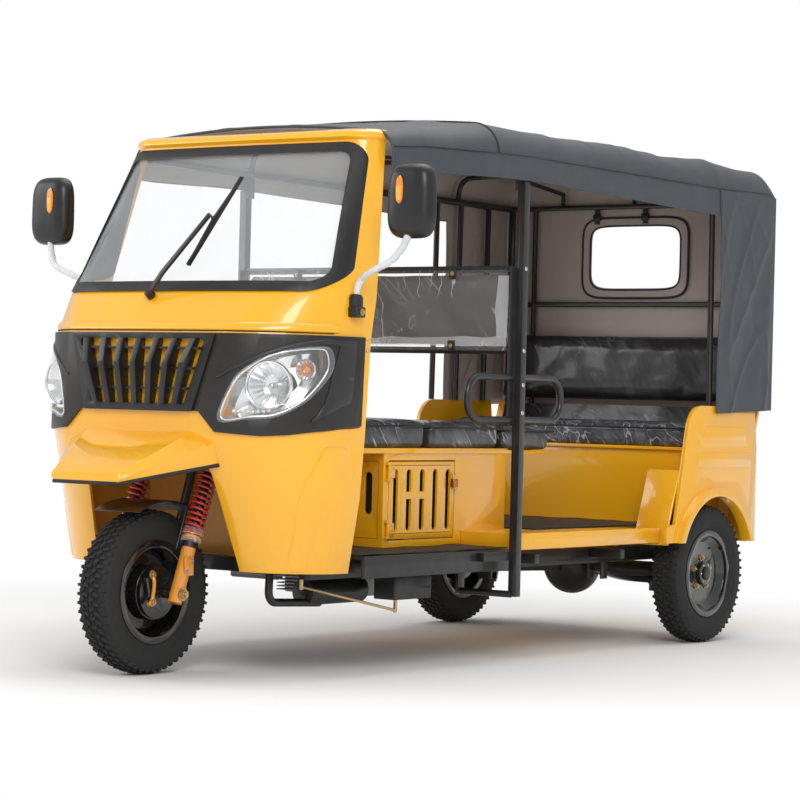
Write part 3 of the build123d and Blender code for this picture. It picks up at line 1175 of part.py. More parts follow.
PLATE_X = RIM_WIDTH / 2 - 6 + 4
with BuildPart() as brake_plate:
    rod((PLATE_X, at(0), TYRE_RADIUS), (PLATE_X + 10, at(0), TYRE_RADIUS), DRUM_RADIUS - 4)
    rod((PLATE_X, at(0), TYRE_RADIUS), (FORK_HALF - SLIDER_RADIUS - 2, at(0), TYRE_RADIUS), 18)
    rod((PLATE_X - 20, at(0), TYRE_RADIUS), (FORK_HALF, at(0), TYRE_RADIUS), AXLE_RADIUS, mode=Mode.SUBTRACT)
    # lever of the brake cam
    rod((PLATE_X + 8, at(-52), TYRE_RADIUS - 18), (PLATE_X + 26, at(-52), TYRE_RADIUS - 18), 8)
    rod((PLATE_X + 22, at(-52), TYRE_RADIUS - 18), (PLATE_X + 22, at(-70), TYRE_RADIUS + 52), 6)
finish(brake_plate, "brake_plate")

with BuildPart() as handlebar:
    bar_points = [FORK_PLANE.from_local_coords(Vector(x, y, t)) for x, y, t in (
        (-BAR_HALF, FORK_OFFSET + 60, STEM_TOP + 26), (-110, FORK_OFFSET, STEM_TOP + 12),
        (110, FORK_OFFSET, STEM_TOP + 12), (BAR_HALF, FORK_OFFSET + 60, STEM_TOP + 26))]
    add(bent_tube([tuple(point) for point in bar_points], BAR_RADIUS, 40))
    with BuildSketch(FORK_PLANE.offset(STEM_TOP)):
        with Locations((0, FORK_OFFSET)):
            Circle(26)
    extrude(amount=30)
    for inner, outer in ((bar_points[1], bar_points[0]), (bar_points[2], bar_points[3])):
        along = (outer - inner).normalized()
        rod(tuple(outer - along * GRIP_LENGTH), tuple(outer), GRIP_RADIUS)
finish(handlebar, "handlebar")

# ------------------------------------------------------------- running gear
with BuildPart() as engine:
    box((-ENGINE_HALF, ENGINE_HALF), (ENGINE_FRONT, ENGINE_REAR), (225, RAIL_LOW + 8))
    box((-ENGINE_HALF + 15, ENGINE_HALF - 15), (880, 1235), (RAIL_LOW + 8, 395))
finish(engine, "engine")

with BuildPart() as exhaust:
    rod((235, at(560), 262), (235, at(880), 262), 46)
    rod((235, at(850), 262), (130, at(980), 262), 17)
    add(bent_tube([(255, at(350), RAIL_LOW + 12), (255, at(345), 238), (245, at(640), 224)], 14, 40))
    rod((245, at(630), 224), (245, at(645), 262), 14)
    add(engine.part, mode=Mode.SUBTRACT)
    add(chassis_rails.part, mode=Mode.SUBTRACT)
    add(cross_members.part, mode=Mode.SUBTRACT)
finish(exhaust, "exhaust")

with BuildPart() as battery_box:
    box((345, 440), (820, 1042), (236, RAIL_LOW))
    fillet(battery_box.edges().filter_by(Axis.Z), 8)
finish(battery_box, "battery_box")

with BuildPart() as brake_linkage:
    rod((392, at(350), 300), (430, at(838), 200), 5)
    rod((430, at(838), 192), (430, at(838), 236), 7)
    rod((392, at(350), 290), (392, at(350), RAIL_LOW), 7)
finish(brake_linkage, "brake_linkage")
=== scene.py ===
"""Auto rickshaw: meshes, cloth and finishes laid over the fixed frame.

Everything is in metres in the frame's own axes: +X is the vehicle's left,
+Y its rear and +Z up. A station is a distance behind the front axle.
"""
from __future__ import annotations

import json
import logging
import math
from contextlib import contextmanager
from dataclasses import dataclass
from enum import Enum
from typing import Any, Callable, Iterable, Iterator, Sequence

import bmesh
import bpy
from mathutils import Matrix, Vector, noise
from mathutils.bvhtree import BVHTree

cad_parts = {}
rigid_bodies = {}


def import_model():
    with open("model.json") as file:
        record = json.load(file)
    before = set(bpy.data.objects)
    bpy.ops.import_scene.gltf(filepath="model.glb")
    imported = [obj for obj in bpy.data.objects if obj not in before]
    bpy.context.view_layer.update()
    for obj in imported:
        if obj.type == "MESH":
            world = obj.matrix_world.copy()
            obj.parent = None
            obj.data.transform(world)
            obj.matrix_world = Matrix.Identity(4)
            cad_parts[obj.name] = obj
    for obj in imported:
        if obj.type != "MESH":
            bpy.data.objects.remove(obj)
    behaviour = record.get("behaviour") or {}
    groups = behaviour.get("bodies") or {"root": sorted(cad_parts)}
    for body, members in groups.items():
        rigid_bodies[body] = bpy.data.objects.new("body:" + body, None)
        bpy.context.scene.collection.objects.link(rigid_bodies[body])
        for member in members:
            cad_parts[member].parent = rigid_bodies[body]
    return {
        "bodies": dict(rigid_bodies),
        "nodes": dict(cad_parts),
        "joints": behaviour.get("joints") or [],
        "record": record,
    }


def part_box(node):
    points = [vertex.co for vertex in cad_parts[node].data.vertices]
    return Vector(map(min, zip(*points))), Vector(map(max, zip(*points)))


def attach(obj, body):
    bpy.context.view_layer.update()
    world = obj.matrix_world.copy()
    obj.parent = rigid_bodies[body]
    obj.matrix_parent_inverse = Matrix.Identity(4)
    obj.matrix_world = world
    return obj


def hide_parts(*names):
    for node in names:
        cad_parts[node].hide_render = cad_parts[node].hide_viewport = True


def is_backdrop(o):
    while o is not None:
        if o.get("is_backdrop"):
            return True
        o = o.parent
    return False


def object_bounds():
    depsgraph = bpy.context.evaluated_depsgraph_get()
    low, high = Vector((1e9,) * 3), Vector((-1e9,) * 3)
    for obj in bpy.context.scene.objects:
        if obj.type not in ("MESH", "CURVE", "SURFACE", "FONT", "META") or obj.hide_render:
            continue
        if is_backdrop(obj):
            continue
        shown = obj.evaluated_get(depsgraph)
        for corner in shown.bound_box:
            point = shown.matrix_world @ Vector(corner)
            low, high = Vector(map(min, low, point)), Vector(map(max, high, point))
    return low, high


log = logging.getLogger("rickshaw")

Point = Sequence[float]
FRONT_AXLE_Y = -1.406
REAR_AXLE = 2.664
WHEEL_Z = 0.275
RAKE = math.radians(20.0)
FORK_HALF = 0.145
SIDES = ((1, "left"), (-1, "right"))
DOOR = "louvred_door"  # body of the seat box's door
MERGE = 1e-6  # corners closer than this become one
NODE_MERGE = 2e-6  # the same for the corners of a frame node
FLAT_DEGREES = 0.6  # faces that meet flatter than this become one
RAY_START_Y = -4.0  # ahead of the nose
LAMP_STEPS = 66
TREAD_COUNT = 54
TREAD_DEPTH = 0.010
WINDOW_Z = 1.575
BINDING_Z = WINDOW_Z - 0.005
WINDOW_ROUND = 0.32  # the smaller, the squarer the window's corners
PICTURE_PX = 800.0
SENSOR_MM = 36.0


def at(station: float) -> float:
    """Y of a station in metres behind the front axle."""
    return FRONT_AXLE_Y + station


def along_fork(x: float, y: float, rise: float) -> Vector:
    """Point in the steering's own leaning frame, measured from the front axle."""
    up = Vector((0, math.sin(RAKE), math.cos(RAKE)))
    back = Vector((0, math.cos(RAKE), -math.sin(RAKE)))
    return Vector((x, at(0), WHEEL_Z)) + back * y + up * rise


def ripple(x: float, y: float, z: float) -> float:
    """Smooth noise between -1 and 1 at a point."""
    return noise.noise(Vector((x, y, z)))


def round_corner(turn: float, power: float, power_up: float | None = None) -> tuple[float, float]:
    """Point on a rounded outline of unit half size.

    Args:
        turn: angle in radians.
        power: 1 gives a circle, less gives a squarer outline.
        power_up: another power for the second direction.

    Returns:
        Both coordinates.
    """
    c, d = math.cos(turn), math.sin(turn)
    rise = power if power_up is None else power_up
    return math.copysign(abs(c) ** power, c), math.copysign(abs(d) ** rise, d)


def round_ring(
    steps: int, power: float, power_up: float | None = None
) -> list[tuple[float, float]]:
    """Rounded outline in equal steps of its angle."""
    return [round_corner(math.tau * (k + 0.5) / steps, power, power_up) for k in range(steps)]


def link(name: str, data: Any) -> bpy.types.Object:
    """Object for some data, in the scene."""
    made = bpy.data.objects.new(name, data)
    bpy.context.scene.collection.objects.link(made)
    return made


@contextmanager
def edited(mesh: bpy.types.Mesh) -> Iterator[bmesh.types.BMesh]:
    """Open a mesh for editing and write it back."""
    work = bmesh.new()
    work.from_mesh(mesh)
    yield work
    work.to_mesh(mesh)
    work.free()


# ------------------------------------------------------------ shader writing
class Sock:
    """One shader value that ordinary Python arithmetic works on."""

    def __init__(self, net: "Net", socket: bpy.types.NodeSocket) -> None:
        """Wrap a node's output socket."""
        self.net = net
        self.socket = socket

    def maths(self, operation: str, *others: Any, swap: bool = False) -> "Sock":
        """Run this value through a Math node.

        Args:
            operation: the Math node's operation.
            others: further operands, values or sockets.
            swap: put this value after the first of the others.

        Returns:
            The node's result.
        """
        row = [others[0], self, *others[1:]] if swap else [self, *others]
        return self.net.add("ShaderNodeMath", {"operation": operation}, row)[0]

    def __add__(self, other: Any) -> "Sock":
        """Sum."""
        return self.maths("ADD", other)

    __radd__ = __add__

    def __sub__(self, other: Any) -> "Sock":
        """Difference."""
        return self.maths("SUBTRACT", other)

    def __rsub__(self, other: Any) -> "Sock":
        """Difference from a number."""
        return self.maths("SUBTRACT", other, swap=True)

    def __mul__(self, other: Any) -> "Sock":
        """Product."""
        return self.maths("MULTIPLY", other)

    __rmul__ = __mul__

    def sine(self) -> "Sock":
        """Sine of the value."""
        return self.maths("SINE")

    def size(self) -> "Sock":
        """Value without its sign."""
        return self.maths("ABSOLUTE")

    def ramp(self, low: float, high: float) -> "Sock":
        """Smooth step from 0 at low to 1 at high."""
        return self.net.add(
            "ShaderNodeMapRange",
            {"interpolation_type": "SMOOTHSTEP"},
            {"Value": self, "From Min": low, "From Max": high},
        )["Result"]


def wired(
    tree: bpy.types.NodeTree, kind: str, settings: dict[str, Any] | None, values: Any
) -> bpy.types.Node:
    """Add a node to a tree, set it up and wire it.

    Args:
        tree: the tree.
        kind: the node's type.
        settings: its properties.
        values: its inputs by name, or in order, as values or links.

    Returns:
        The node.
    """
    node = tree.nodes.new(kind)
    for key, value in (settings or {}).items():
        setattr(node, key, value)
    pairs = values.items() if isinstance(values, dict) else enumerate(values or ())
    for key, value in pairs:
        source = value.socket if isinstance(value, Sock) else value
        if isinstance(source, bpy.types.NodeSocket):
            tree.links.new(source, node.inputs[key])
        elif source is not None:
            node.inputs[key].default_value = source
    return node


class Outs:
    """Output sockets of a node, by name or number."""

    def __init__(self, net: "Net", node: bpy.types.Node) -> None:
        """Keep the node."""
        self.net = net
        self.node = node

    def __getitem__(self, key: str | int) -> Sock:
        """Wrap one output."""
        return Sock(self.net, self.node.outputs[key])


class Net:
    """Node tree of one material or world."""

    def __init__(self, owner: bpy.types.Material | bpy.types.World) -> None:
        """Empty the owner's tree and start with its object coordinates."""
        owner.use_nodes = True
        self.tree = owner.node_tree
        self.tree.nodes.clear()
        self.place = self.add("ShaderNodeTexCoord")["Object"]

    def add(self, kind: str, settings: dict[str, Any] | None = None, values: Any = None) -> Outs:
        """Add a node, set it up and wire it.

        Args:
            kind: the node's type.
            settings: its properties.
            values: its inputs by name, or in order, as values or links.

        Returns:
            The node's outputs.
        """
        return Outs(self, wired(self.tree, kind, settings, values))

    def scaled(self, factors: Point) -> Sock:
        """Coordinates multiplied axis by axis."""
        row = [self.place, tuple(factors)]
        return self.add("ShaderNodeVectorMath", {"operation": "MULTIPLY"}, row)[0]

    def axis(self, name: str, place: Sock | None = None) -> Sock:
        """One component of the coordinates: X, Y or Z."""
        return self.add("ShaderNodeSeparateXYZ", None, [place or self.place])[name]

    def cloud(
        self, scale: float, detail: float = 3.0, rough: float = 0.55, place: Sock | None = None
    ) -> Sock:
        """Smooth noise between 0 and 1."""
        inputs = {
            "Vector": place or self.place, "Scale": scale, "Detail": detail, "Roughness": rough
        }
        return self.add("ShaderNodeTexNoise", None, inputs)["Fac"]

    def cells(self, scale: float, feature: str = "F1") -> Sock:
        """Distance inside a cell pattern."""
        inputs = {"Vector": self.place, "Scale": scale}
        return self.add("ShaderNodeTexVoronoi", {"feature": feature}, inputs)["Distance"]

    def tint(self, factor: Sock, first: Point, second: Any) -> Sock:
        """Colour between two, by a factor."""
        def four(colour: Any) -> Any:
            return colour if isinstance(colour, Sock) else (*colour[:3], 1.0)

        row = {0: factor, 6: four(first), 7: four(second)}
        return self.add("ShaderNodeMix", {"data_type": "RGBA"}, row)[2]

    def bump(self, height: Sock, depth: float, under: Sock | None = None) -> Sock:
        """Normal for a height between 0 and 1 that stands depth metres tall."""
        row = {"Height": height, "Strength": 1.0, "Distance": depth, "Normal": under}
        return self.add("ShaderNodeBump", None, row)["Normal"]

    def surface(self, **values: Any) -> None:
        """Finish the tree with a Principled shader, keys being its inputs in snake case."""
        named = {
            key.replace("_", " ").title().replace("Ior", "IOR"): value
            for key, value in values.items()
        }
        shader = self.add("ShaderNodeBsdfPrincipled", None, named)[0]
        self.add("ShaderNodeOutputMaterial", None, {"Surface": shader})


# ------------------------------------------------------------------ finishes
@dataclass(frozen=True)
class Finish:
    """A named surface finish; each kind writes its own nodes."""

    name: str
    slot: str
    colour: tuple[float, float, float]

    def material(self) -> bpy.types.Material:
        """Material of this finish, made once."""
        known = bpy.data.materials.get(self.name)
        if known is None:
            known = bpy.data.materials.new(self.name)
            known.diffuse_color = (*self.colour, 1.0)
            self.write(Net(known))
        return known

    def write(self, net: Net) -> None:
        """Write the nodes, as each kind of finish does in its own way."""
        raise NotImplementedError


@dataclass(frozen=True)
class GlossPaint(Finish):
    """Sprayed paint under clear coat, dusty low down."""

    coat: float = 1.0
    rough: float = 0.32
    dust: float = 0.35

    def write(self, net: Net) -> None:
        """Write the nodes."""
        height = net.axis("Z")
        low = 1.0 - height.ramp(0.33, 0.62)
        speck = net.cloud(38.0, 6.0, 0.7)
        grime = low * speck.ramp(0.35, 0.75) * self.dust
        drift = net.cloud(1.7, 2.0)
        base = net.tint(drift.ramp(0.3, 0.7), self.colour, [c * 0.93 for c in self.colour])
        base = net.tint(grime, base, (0.20, 0.15, 0.10))
        peel = net.cloud(260.0, 2.0, 0.5)
        wave = net.cloud(5.0, 1.0)
        normal = net.bump(wave, 0.0012, net.bump(peel, 0.00006))
        scuff = net.cloud(95.0, 4.0, 0.65, net.scaled((1.0, 0.2, 1.0)))
        net.surface(
            base_color=base,
            roughness=self.rough + 0.12 * scuff.ramp(0.45, 0.8) + 0.3 * grime,
            coat_weight=self.coat * (1.0 - grime),
            coat_roughness=0.05,
            normal=normal,
        )


@dataclass(frozen=True)
class FramePaint(Finish):
    """Brushed or dipped paint on tube and plate, with small chips."""

    rough: float = 0.36
    chip: tuple[float, float, float] = (0.16, 0.13, 0.10)

    def write(self, net: Net) -> None:
        """Write the nodes."""
        spots = net.cells(55.0)
        wear = net.cloud(9.0, 5.0, 0.7).ramp(0.62, 0.74) * (1.0 - spots.ramp(0.05, 0.16))
        film = net.cloud(22.0, 4.0, 0.6)
        base = net.tint(
            film.ramp(0.35, 0.8) * 0.5, self.colour, [c * 1.4 + 0.003 for c in self.colour]
        )
        base = net.tint(wear, base, self.chip)
        normal = net.bump(net.cloud(140.0, 3.0), 0.00015, net.bump(wear, -0.0002))
        net.surface(
            base_color=base,
            roughness=self.rough + 0.18 * film.ramp(0.3, 0.8) + 0.2 * wear,
            coat_weight=0.45,
            coat_roughness=0.16,
            normal=normal,
        )


@dataclass(frozen=True)
class Moulding(Finish):
    """Grained plastic moulding."""

    rough: float = 0.42
    grain: float = 620.0
    depth: float = 0.00016

    def write(self, net: Net) -> None:
        """Write the nodes."""
        grain = net.cells(self.grain, "SMOOTH_F1")
        cloud = net.cloud(6.0, 4.0)
        base = net.tint(cloud.ramp(0.3, 0.75), self.colour, [c * 1.35 + 0.002 for c in self.colour])
        dust = net.cloud(60.0, 6.0, 0.75).ramp(0.55, 0.9) * 0.12
        base = net.tint(dust, base, (0.22, 0.20, 0.17))
        net.surface(
            base_color=base,
            roughness=self.rough + 0.1 * cloud + 0.25 * dust,
            normal=net.bump(grain, self.depth),
        )


@dataclass(frozen=True)
class Rubber(Finish):
    """Vulcanised rubber, paler where it is worn and dusty."""

    rough: float = 0.62
    dust: float = 0.3

    def write(self, net: Net) -> None:
        """Write the nodes."""
        bloom = net.cloud(14.0, 5.0, 0.7).ramp(0.4, 0.8) * self.dust
        base = net.tint(bloom, self.colour, (0.085, 0.08, 0.072))
        net.surface(
            base_color=base,
            roughness=self.rough + 0.25 * bloom,
            normal=net.bump(net.cloud(420.0, 3.0, 0.6), 0.00018),
        )


@dataclass(frozen=True)
class Metal(Finish):
    """Bare, cast or plated metal."""

    rough: float = 0.3
    grain: float = 180.0
    depth: float = 0.0001
    stain: tuple[float, float, float] = (0.12, 0.07, 0.03)
    stained: float = 0.2

    def write(self, net: Net) -> None:
        """Write the nodes."""
        grain = net.cloud(self.grain, 4.0, 0.65)
        patch = net.cloud(16.0, 5.0, 0.7).ramp(0.55, 0.8) * self.stained
        net.surface(
            base_color=net.tint(patch, self.colour, self.stain),
            metallic=1.0 - 0.7 * patch,
            roughness=self.rough + 0.2 * grain + 0.4 * patch,
            normal=net.bump(grain, self.depth),
        )


class Facing(Enum):
    """Which way a woven cloth's threads are laid out."""

    UV = "uv"
    OBJECT = "object"


@dataclass(frozen=True)
class CoatedCloth(Finish):
    """Woven cloth with a plastic coat, lighter on the crests of its folds as a painted highlight.
    """

    facing: Facing = Facing.UV
    thread: float = 0.0028
    rough: float = 0.55
    crease: float = 0.0022
    # Colour of the painted highlight on the fold crests and of the fine dust.
    highlight_and_dust_tint: tuple[float, float, float] = (0.16, 0.17, 0.19)

    def write(self, net: Net) -> None:
        """Write the nodes."""
        if self.facing is Facing.UV:
            place = net.add("ShaderNodeTexCoord")["UV"]
            first, second = net.axis("X", place), net.axis("Y", place)
        else:
            first, second = net.axis("X") + net.axis("Y"), net.axis("Z")
        turn = math.tau / self.thread
        weave = ((first * turn).sine() * (second * turn).sine()).size()
        folds = net.cloud(3.2, 5.0, 0.62, net.scaled((1.0, 2.2, 1.4)))
        fine = net.cloud(24.0, 5.0, 0.6)
        # Lighter on the fold crests, a painted highlight; the fine patches are random dust.
        fold_highlight_and_dust = folds.ramp(0.5, 0.78) * 0.35 + fine.ramp(0.5, 0.9) * 0.18
        normal = net.bump(
            folds, self.crease * 3.0, net.bump(fine, self.crease * 0.35, net.bump(weave, 0.00022))
        )
        net.surface(
            base_color=net.tint(fold_highlight_and_dust, self.colour, self.highlight_and_dust_tint),
            roughness=self.rough + 0.12 * weave + 0.15 * fine,
            coat_weight=0.30,
            coat_roughness=0.38,
            normal=normal,
        )


@dataclass(frozen=True)
class FilmedVinyl(Finish):
    """Grained vinyl under loose clear wrapping film, with painted highlights on its wrinkles."""

    # Strength of the painted highlight on the wrinkles.
    film: float = 0.5
    wrinkle: float = 15.0
    length: float = 0.16

    def write(self, net: Net) -> None:
        """Write the nodes."""
        x, y, z = (net.axis(letter) for letter in "XYZ")
        lean = net.add(
            "ShaderNodeCombineXYZ", None,
            {"X": x * 0.8 + y * 0.7 + z * 0.6, "Y": (z - x + y * 0.4) * self.length, "Z": z * 0.2}
        )[0]
        warp = net.cloud(3.6, 2.0, 0.5)
        soft = net.cloud(self.wrinkle, 2.0, 0.45, lean)
        ridge = 1.0 - (soft * 2.0 - 1.0).size()
        line = ridge.ramp(0.955, 0.998) * warp.ramp(0.44, 0.56)
        thin = 1.0 - (net.cloud(self.wrinkle * 2.4, 2.0, 0.5, lean) * 2.0 - 1.0).size()
        hair_glint = thin.ramp(0.95, 0.995) * warp.ramp(0.44, 0.62)
        # Pale streaks and a soft pale haze on the wrinkles: a painted highlight in the base colour.
        painted_glint = line * 0.8 + hair_glint * 0.35 + soft.ramp(0.50, 0.75) * 0.16
        leather = net.cells(420.0, "SMOOTH_F1")
        normal = net.bump(soft, 0.010, net.bump(thin, 0.0012, net.bump(leather, 0.0002)))
        net.surface(
            base_color=net.tint(painted_glint * self.film, self.colour, (0.60, 0.63, 0.68)),
            roughness=0.42 - 0.2 * painted_glint,
            coat_weight=0.55 + 0.3 * painted_glint,
            coat_roughness=0.10,
            normal=normal,
        )


@dataclass(frozen=True)
class ClearFilm(Finish):
    """Thin clear wrapping film, with painted highlights on its creases and a painted reflection at
    grazing angles.
    """

    wrinkle: float = 16.0
    body: float = 0.06

    def write(self, net: Net) -> None:
        """Write the nodes."""
        ridge = 1.0 - (
            net.cloud(self.wrinkle, 2.0, 0.5, net.scaled((1.0, 1.0, 0.5))) * 2.0 - 1.0
        ).size()
        # Opaque pale streaks on the creases: painted highlights.
        crease_highlight = ridge.ramp(0.95, 0.998) * net.cloud(4.0, 2.0).ramp(0.48, 0.62)
        glint = net.cells(self.wrinkle * 1.7, "DISTANCE_TO_EDGE")
        crackle_highlight = (1.0 - glint.ramp(0.0, 0.03)) * crease_highlight
        # Opacity of the pale film rising at grazing angles: a painted reflection.
        edge = net.add("ShaderNodeLayerWeight", None, {"Blend": 0.35})["Facing"]
        net.surface(
            base_color=(*self.colour, 1.0),
            roughness=0.12 + 0.1 * crease_highlight,
            alpha=self.body + 0.42 * crease_highlight + 0.22 * crackle_highlight + 0.25 * edge,
            normal=net.bump(ridge, 0.006, net.bump(glint, 0.0015)),
        )


@dataclass(frozen=True)
class Glazing(Finish):
    """Sheet glass or a clear lens."""

    body: float = 0.10

    def write(self, net: Net) -> None:
        """Write the nodes."""
        # Opacity of the pale glass rising at grazing angles: a painted reflection.
        edge = net.add("ShaderNodeLayerWeight", None, {"Blend": 0.25})["Facing"]
        smear = net.cloud(5.0, 4.0, 0.6).ramp(0.45, 0.8)
        net.surface(
            base_color=(*self.colour, 1.0),
            roughness=0.03 + 0.03 * smear,
            alpha=self.body + 0.5 * edge * edge + 0.03 * smear,
            coat_weight=1.0,
            coat_roughness=0.02,
            specular_ior_level=0.8,
            normal=net.bump(net.cloud(1.2, 1.0), 0.0015),
        )


@dataclass(frozen=True)
class LampPlastic(Finish):
    """Coloured lens with moulded ribs."""

    ribs: float = 900.0

    def write(self, net: Net) -> None:
        """Write the nodes."""
        cross = (net.axis("X") * self.ribs).sine() * (net.axis("Z") * self.ribs).sine()
        net.surface(
            base_color=net.tint(
                cross.size(), self.colour, [min(1.0, c * 1.6) for c in self.colour]
            ), roughness=0.16 + 0.05 * cross.size(), coat_weight=1.0, coat_roughness=0.03,
            normal=net.bump(cross, 0.0006)
        )


class Finishes(Enum):
    """Every finish on the vehicle."""

    BODY = GlossPaint("amber_body_paint", "body_paint", (0.97, 0.47, 0.004), dust=0.05)
    BODY_EDGE = Rubber("black_edge_trim", "seal_rubber", (0.012, 0.011, 0.010))
    # Darker copy of the amber body paint for the wheel well: painted shade.
    SHADED_WELL = GlossPaint("amber_paint_painted_shade", "body_paint", (0.62, 0.27, 0.02), coat=0.3, rough=0.5)
    FRAME = FramePaint("black_frame_paint", "black_frame", (0.007, 0.007, 0.008))
    UNDER = FramePaint("black_underbody_paint", "black_frame", (0.009, 0.009, 0.009), rough=0.5)
    MASK = Moulding("satin_black_moulding", "black_moulding", (0.013, 0.011, 0.010), rough=0.36)
    # Lighter copy of the mask moulding for its raised lines: painted highlight.
    MASK_HIGHLIGHT = Moulding(
        "mask_relief_highlight_moulding", "black_moulding", (0.020, 0.020, 0.022), rough=0.28
    )
    SEAM = Rubber("panel_seam_line", "body_paint", (0.20, 0.08, 0.01), rough=0.8, dust=0.0)
    MIRROR = Moulding(
        "mirror_shell_moulding", "black_moulding", (0.010, 0.010, 0.010), rough=0.28, depth=0.00005
    )
    SEAL = Rubber("glazing_seal_rubber", "seal_rubber", (0.010, 0.010, 0.010), rough=0.45, dust=0.1)
    MAT = Rubber("ribbed_floor_mat", "seal_rubber", (0.022, 0.022, 0.023), rough=0.6)
    TYRE = Rubber("tyre_rubber", "tyre_rubber", (0.018, 0.018, 0.018))
    RIM = GlossPaint(
        "black_wheel_paint", "wheel_black", (0.006, 0.006, 0.006), rough=0.22, dust=0.05
    )
    FORK = GlossPaint(
        "orange_fork_paint", "orange_paint", (0.80, 0.30, 0.020), rough=0.34, dust=0.1
    )
    SPRING = GlossPaint("red_spring_coat", "spring_red", (0.55, 0.025, 0.02), rough=0.4, dust=0.1)
    CLOTH = CoatedCloth(
        "slate_canopy_cloth", "canopy_cloth", (0.040, 0.047, 0.060), rough=0.40, crease=0.0014,
        highlight_and_dust_tint=(0.085, 0.096, 0.120)
    )
    LINING = CoatedCloth(
        "canopy_lining", "canopy_cloth", (0.48, 0.40, 0.37), highlight_and_dust_tint=(0.60, 0.53, 0.49), crease=0.0010
    )
    BINDING = CoatedCloth(
        "window_binding", "canopy_cloth", (0.014, 0.015, 0.018), Facing.OBJECT,
        highlight_and_dust_tint=(0.03, 0.03, 0.03)
    )
    WEBBING = CoatedCloth(
        "strap_webbing", "canopy_cloth", (0.02, 0.02, 0.022), Facing.OBJECT, thread=0.002,
        crease=0.0
    )
    THREAD = Rubber("seam_thread", "canopy_cloth", (0.10, 0.11, 0.13), rough=0.8, dust=0.0)
    SEAT = FilmedVinyl(
        "filmed_black_vinyl", "seat_cover", (0.042, 0.047, 0.058), film=0.80, wrinkle=17.0,
        length=0.35
    )
    BACKREST = FilmedVinyl(
        "filmed_backrest_vinyl", "seat_cover", (0.0075, 0.0075, 0.010), film=0.20, wrinkle=12.0,
        length=0.30
    )
    BOARD = FilmedVinyl(
        "filmed_warm_grey_vinyl", "seat_cover", (0.060, 0.052, 0.046), film=0.60, wrinkle=6.0,
        length=0.14
    )
    WELT = Rubber("seat_welt", "seat_cover", (0.010, 0.010, 0.011), rough=0.35, dust=0.0)
    FILM = ClearFilm("clear_wrapping_film", "clear_glass", (0.9, 0.92, 0.95))
    FOLDED = ClearFilm(
        "folded_wrapping_film", "clear_glass", (0.9, 0.92, 0.95), wrinkle=22.0, body=0.42
    )
    BUBBLE = Moulding(
        "bubble_wrapping", "clear_glass", (0.58, 0.60, 0.62), rough=0.22, grain=95.0, depth=0.003
    )
    GLASS = Glazing("windshield_glass", "clear_glass", (0.80, 0.86, 0.88), body=0.13)
    LENS = Glazing("headlamp_lens", "lamp_lens", (0.88, 0.92, 0.95), body=0.12)
    AMBER = LampPlastic("amber_lens", "lamp_lens", (0.85, 0.22, 0.01))
    AMBER_PALE = LampPlastic("amber_lens_core", "lamp_lens", (0.95, 0.36, 0.02))
    RED = LampPlastic("red_lens", "lamp_red", (0.42, 0.012, 0.012))
    CHROME = Metal(
        "lamp_chrome", "lamp_lens", (0.86, 0.87, 0.88), rough=0.08, depth=0.00002, stained=0.0
    )
    ZINC = Metal("yellow_zinc_plate", "bare_steel", (0.62, 0.47, 0.22), rough=0.3)
    COPPER = Metal("copper_lock_plate", "bare_steel", (0.60, 0.22, 0.07), rough=0.32)
    STEEL = Metal("plated_steel", "bare_steel", (0.55, 0.55, 0.54), rough=0.28)
    ALLOY = Metal(
        "rough_cast_alloy", "cast_metal", (0.30, 0.30, 0.30), rough=0.5, grain=320.0, depth=0.0006
    )
    DIAL = Moulding("instrument_face", "black_moulding", (0.03, 0.03, 0.032), rough=0.2, depth=0.0)

    @property
    def material(self) -> bpy.types.Material:
        """Material of this finish."""
        return self.value.material()

    @property
    def slot(self) -> str:
        """Record slot of this finish."""
        return self.value.slot


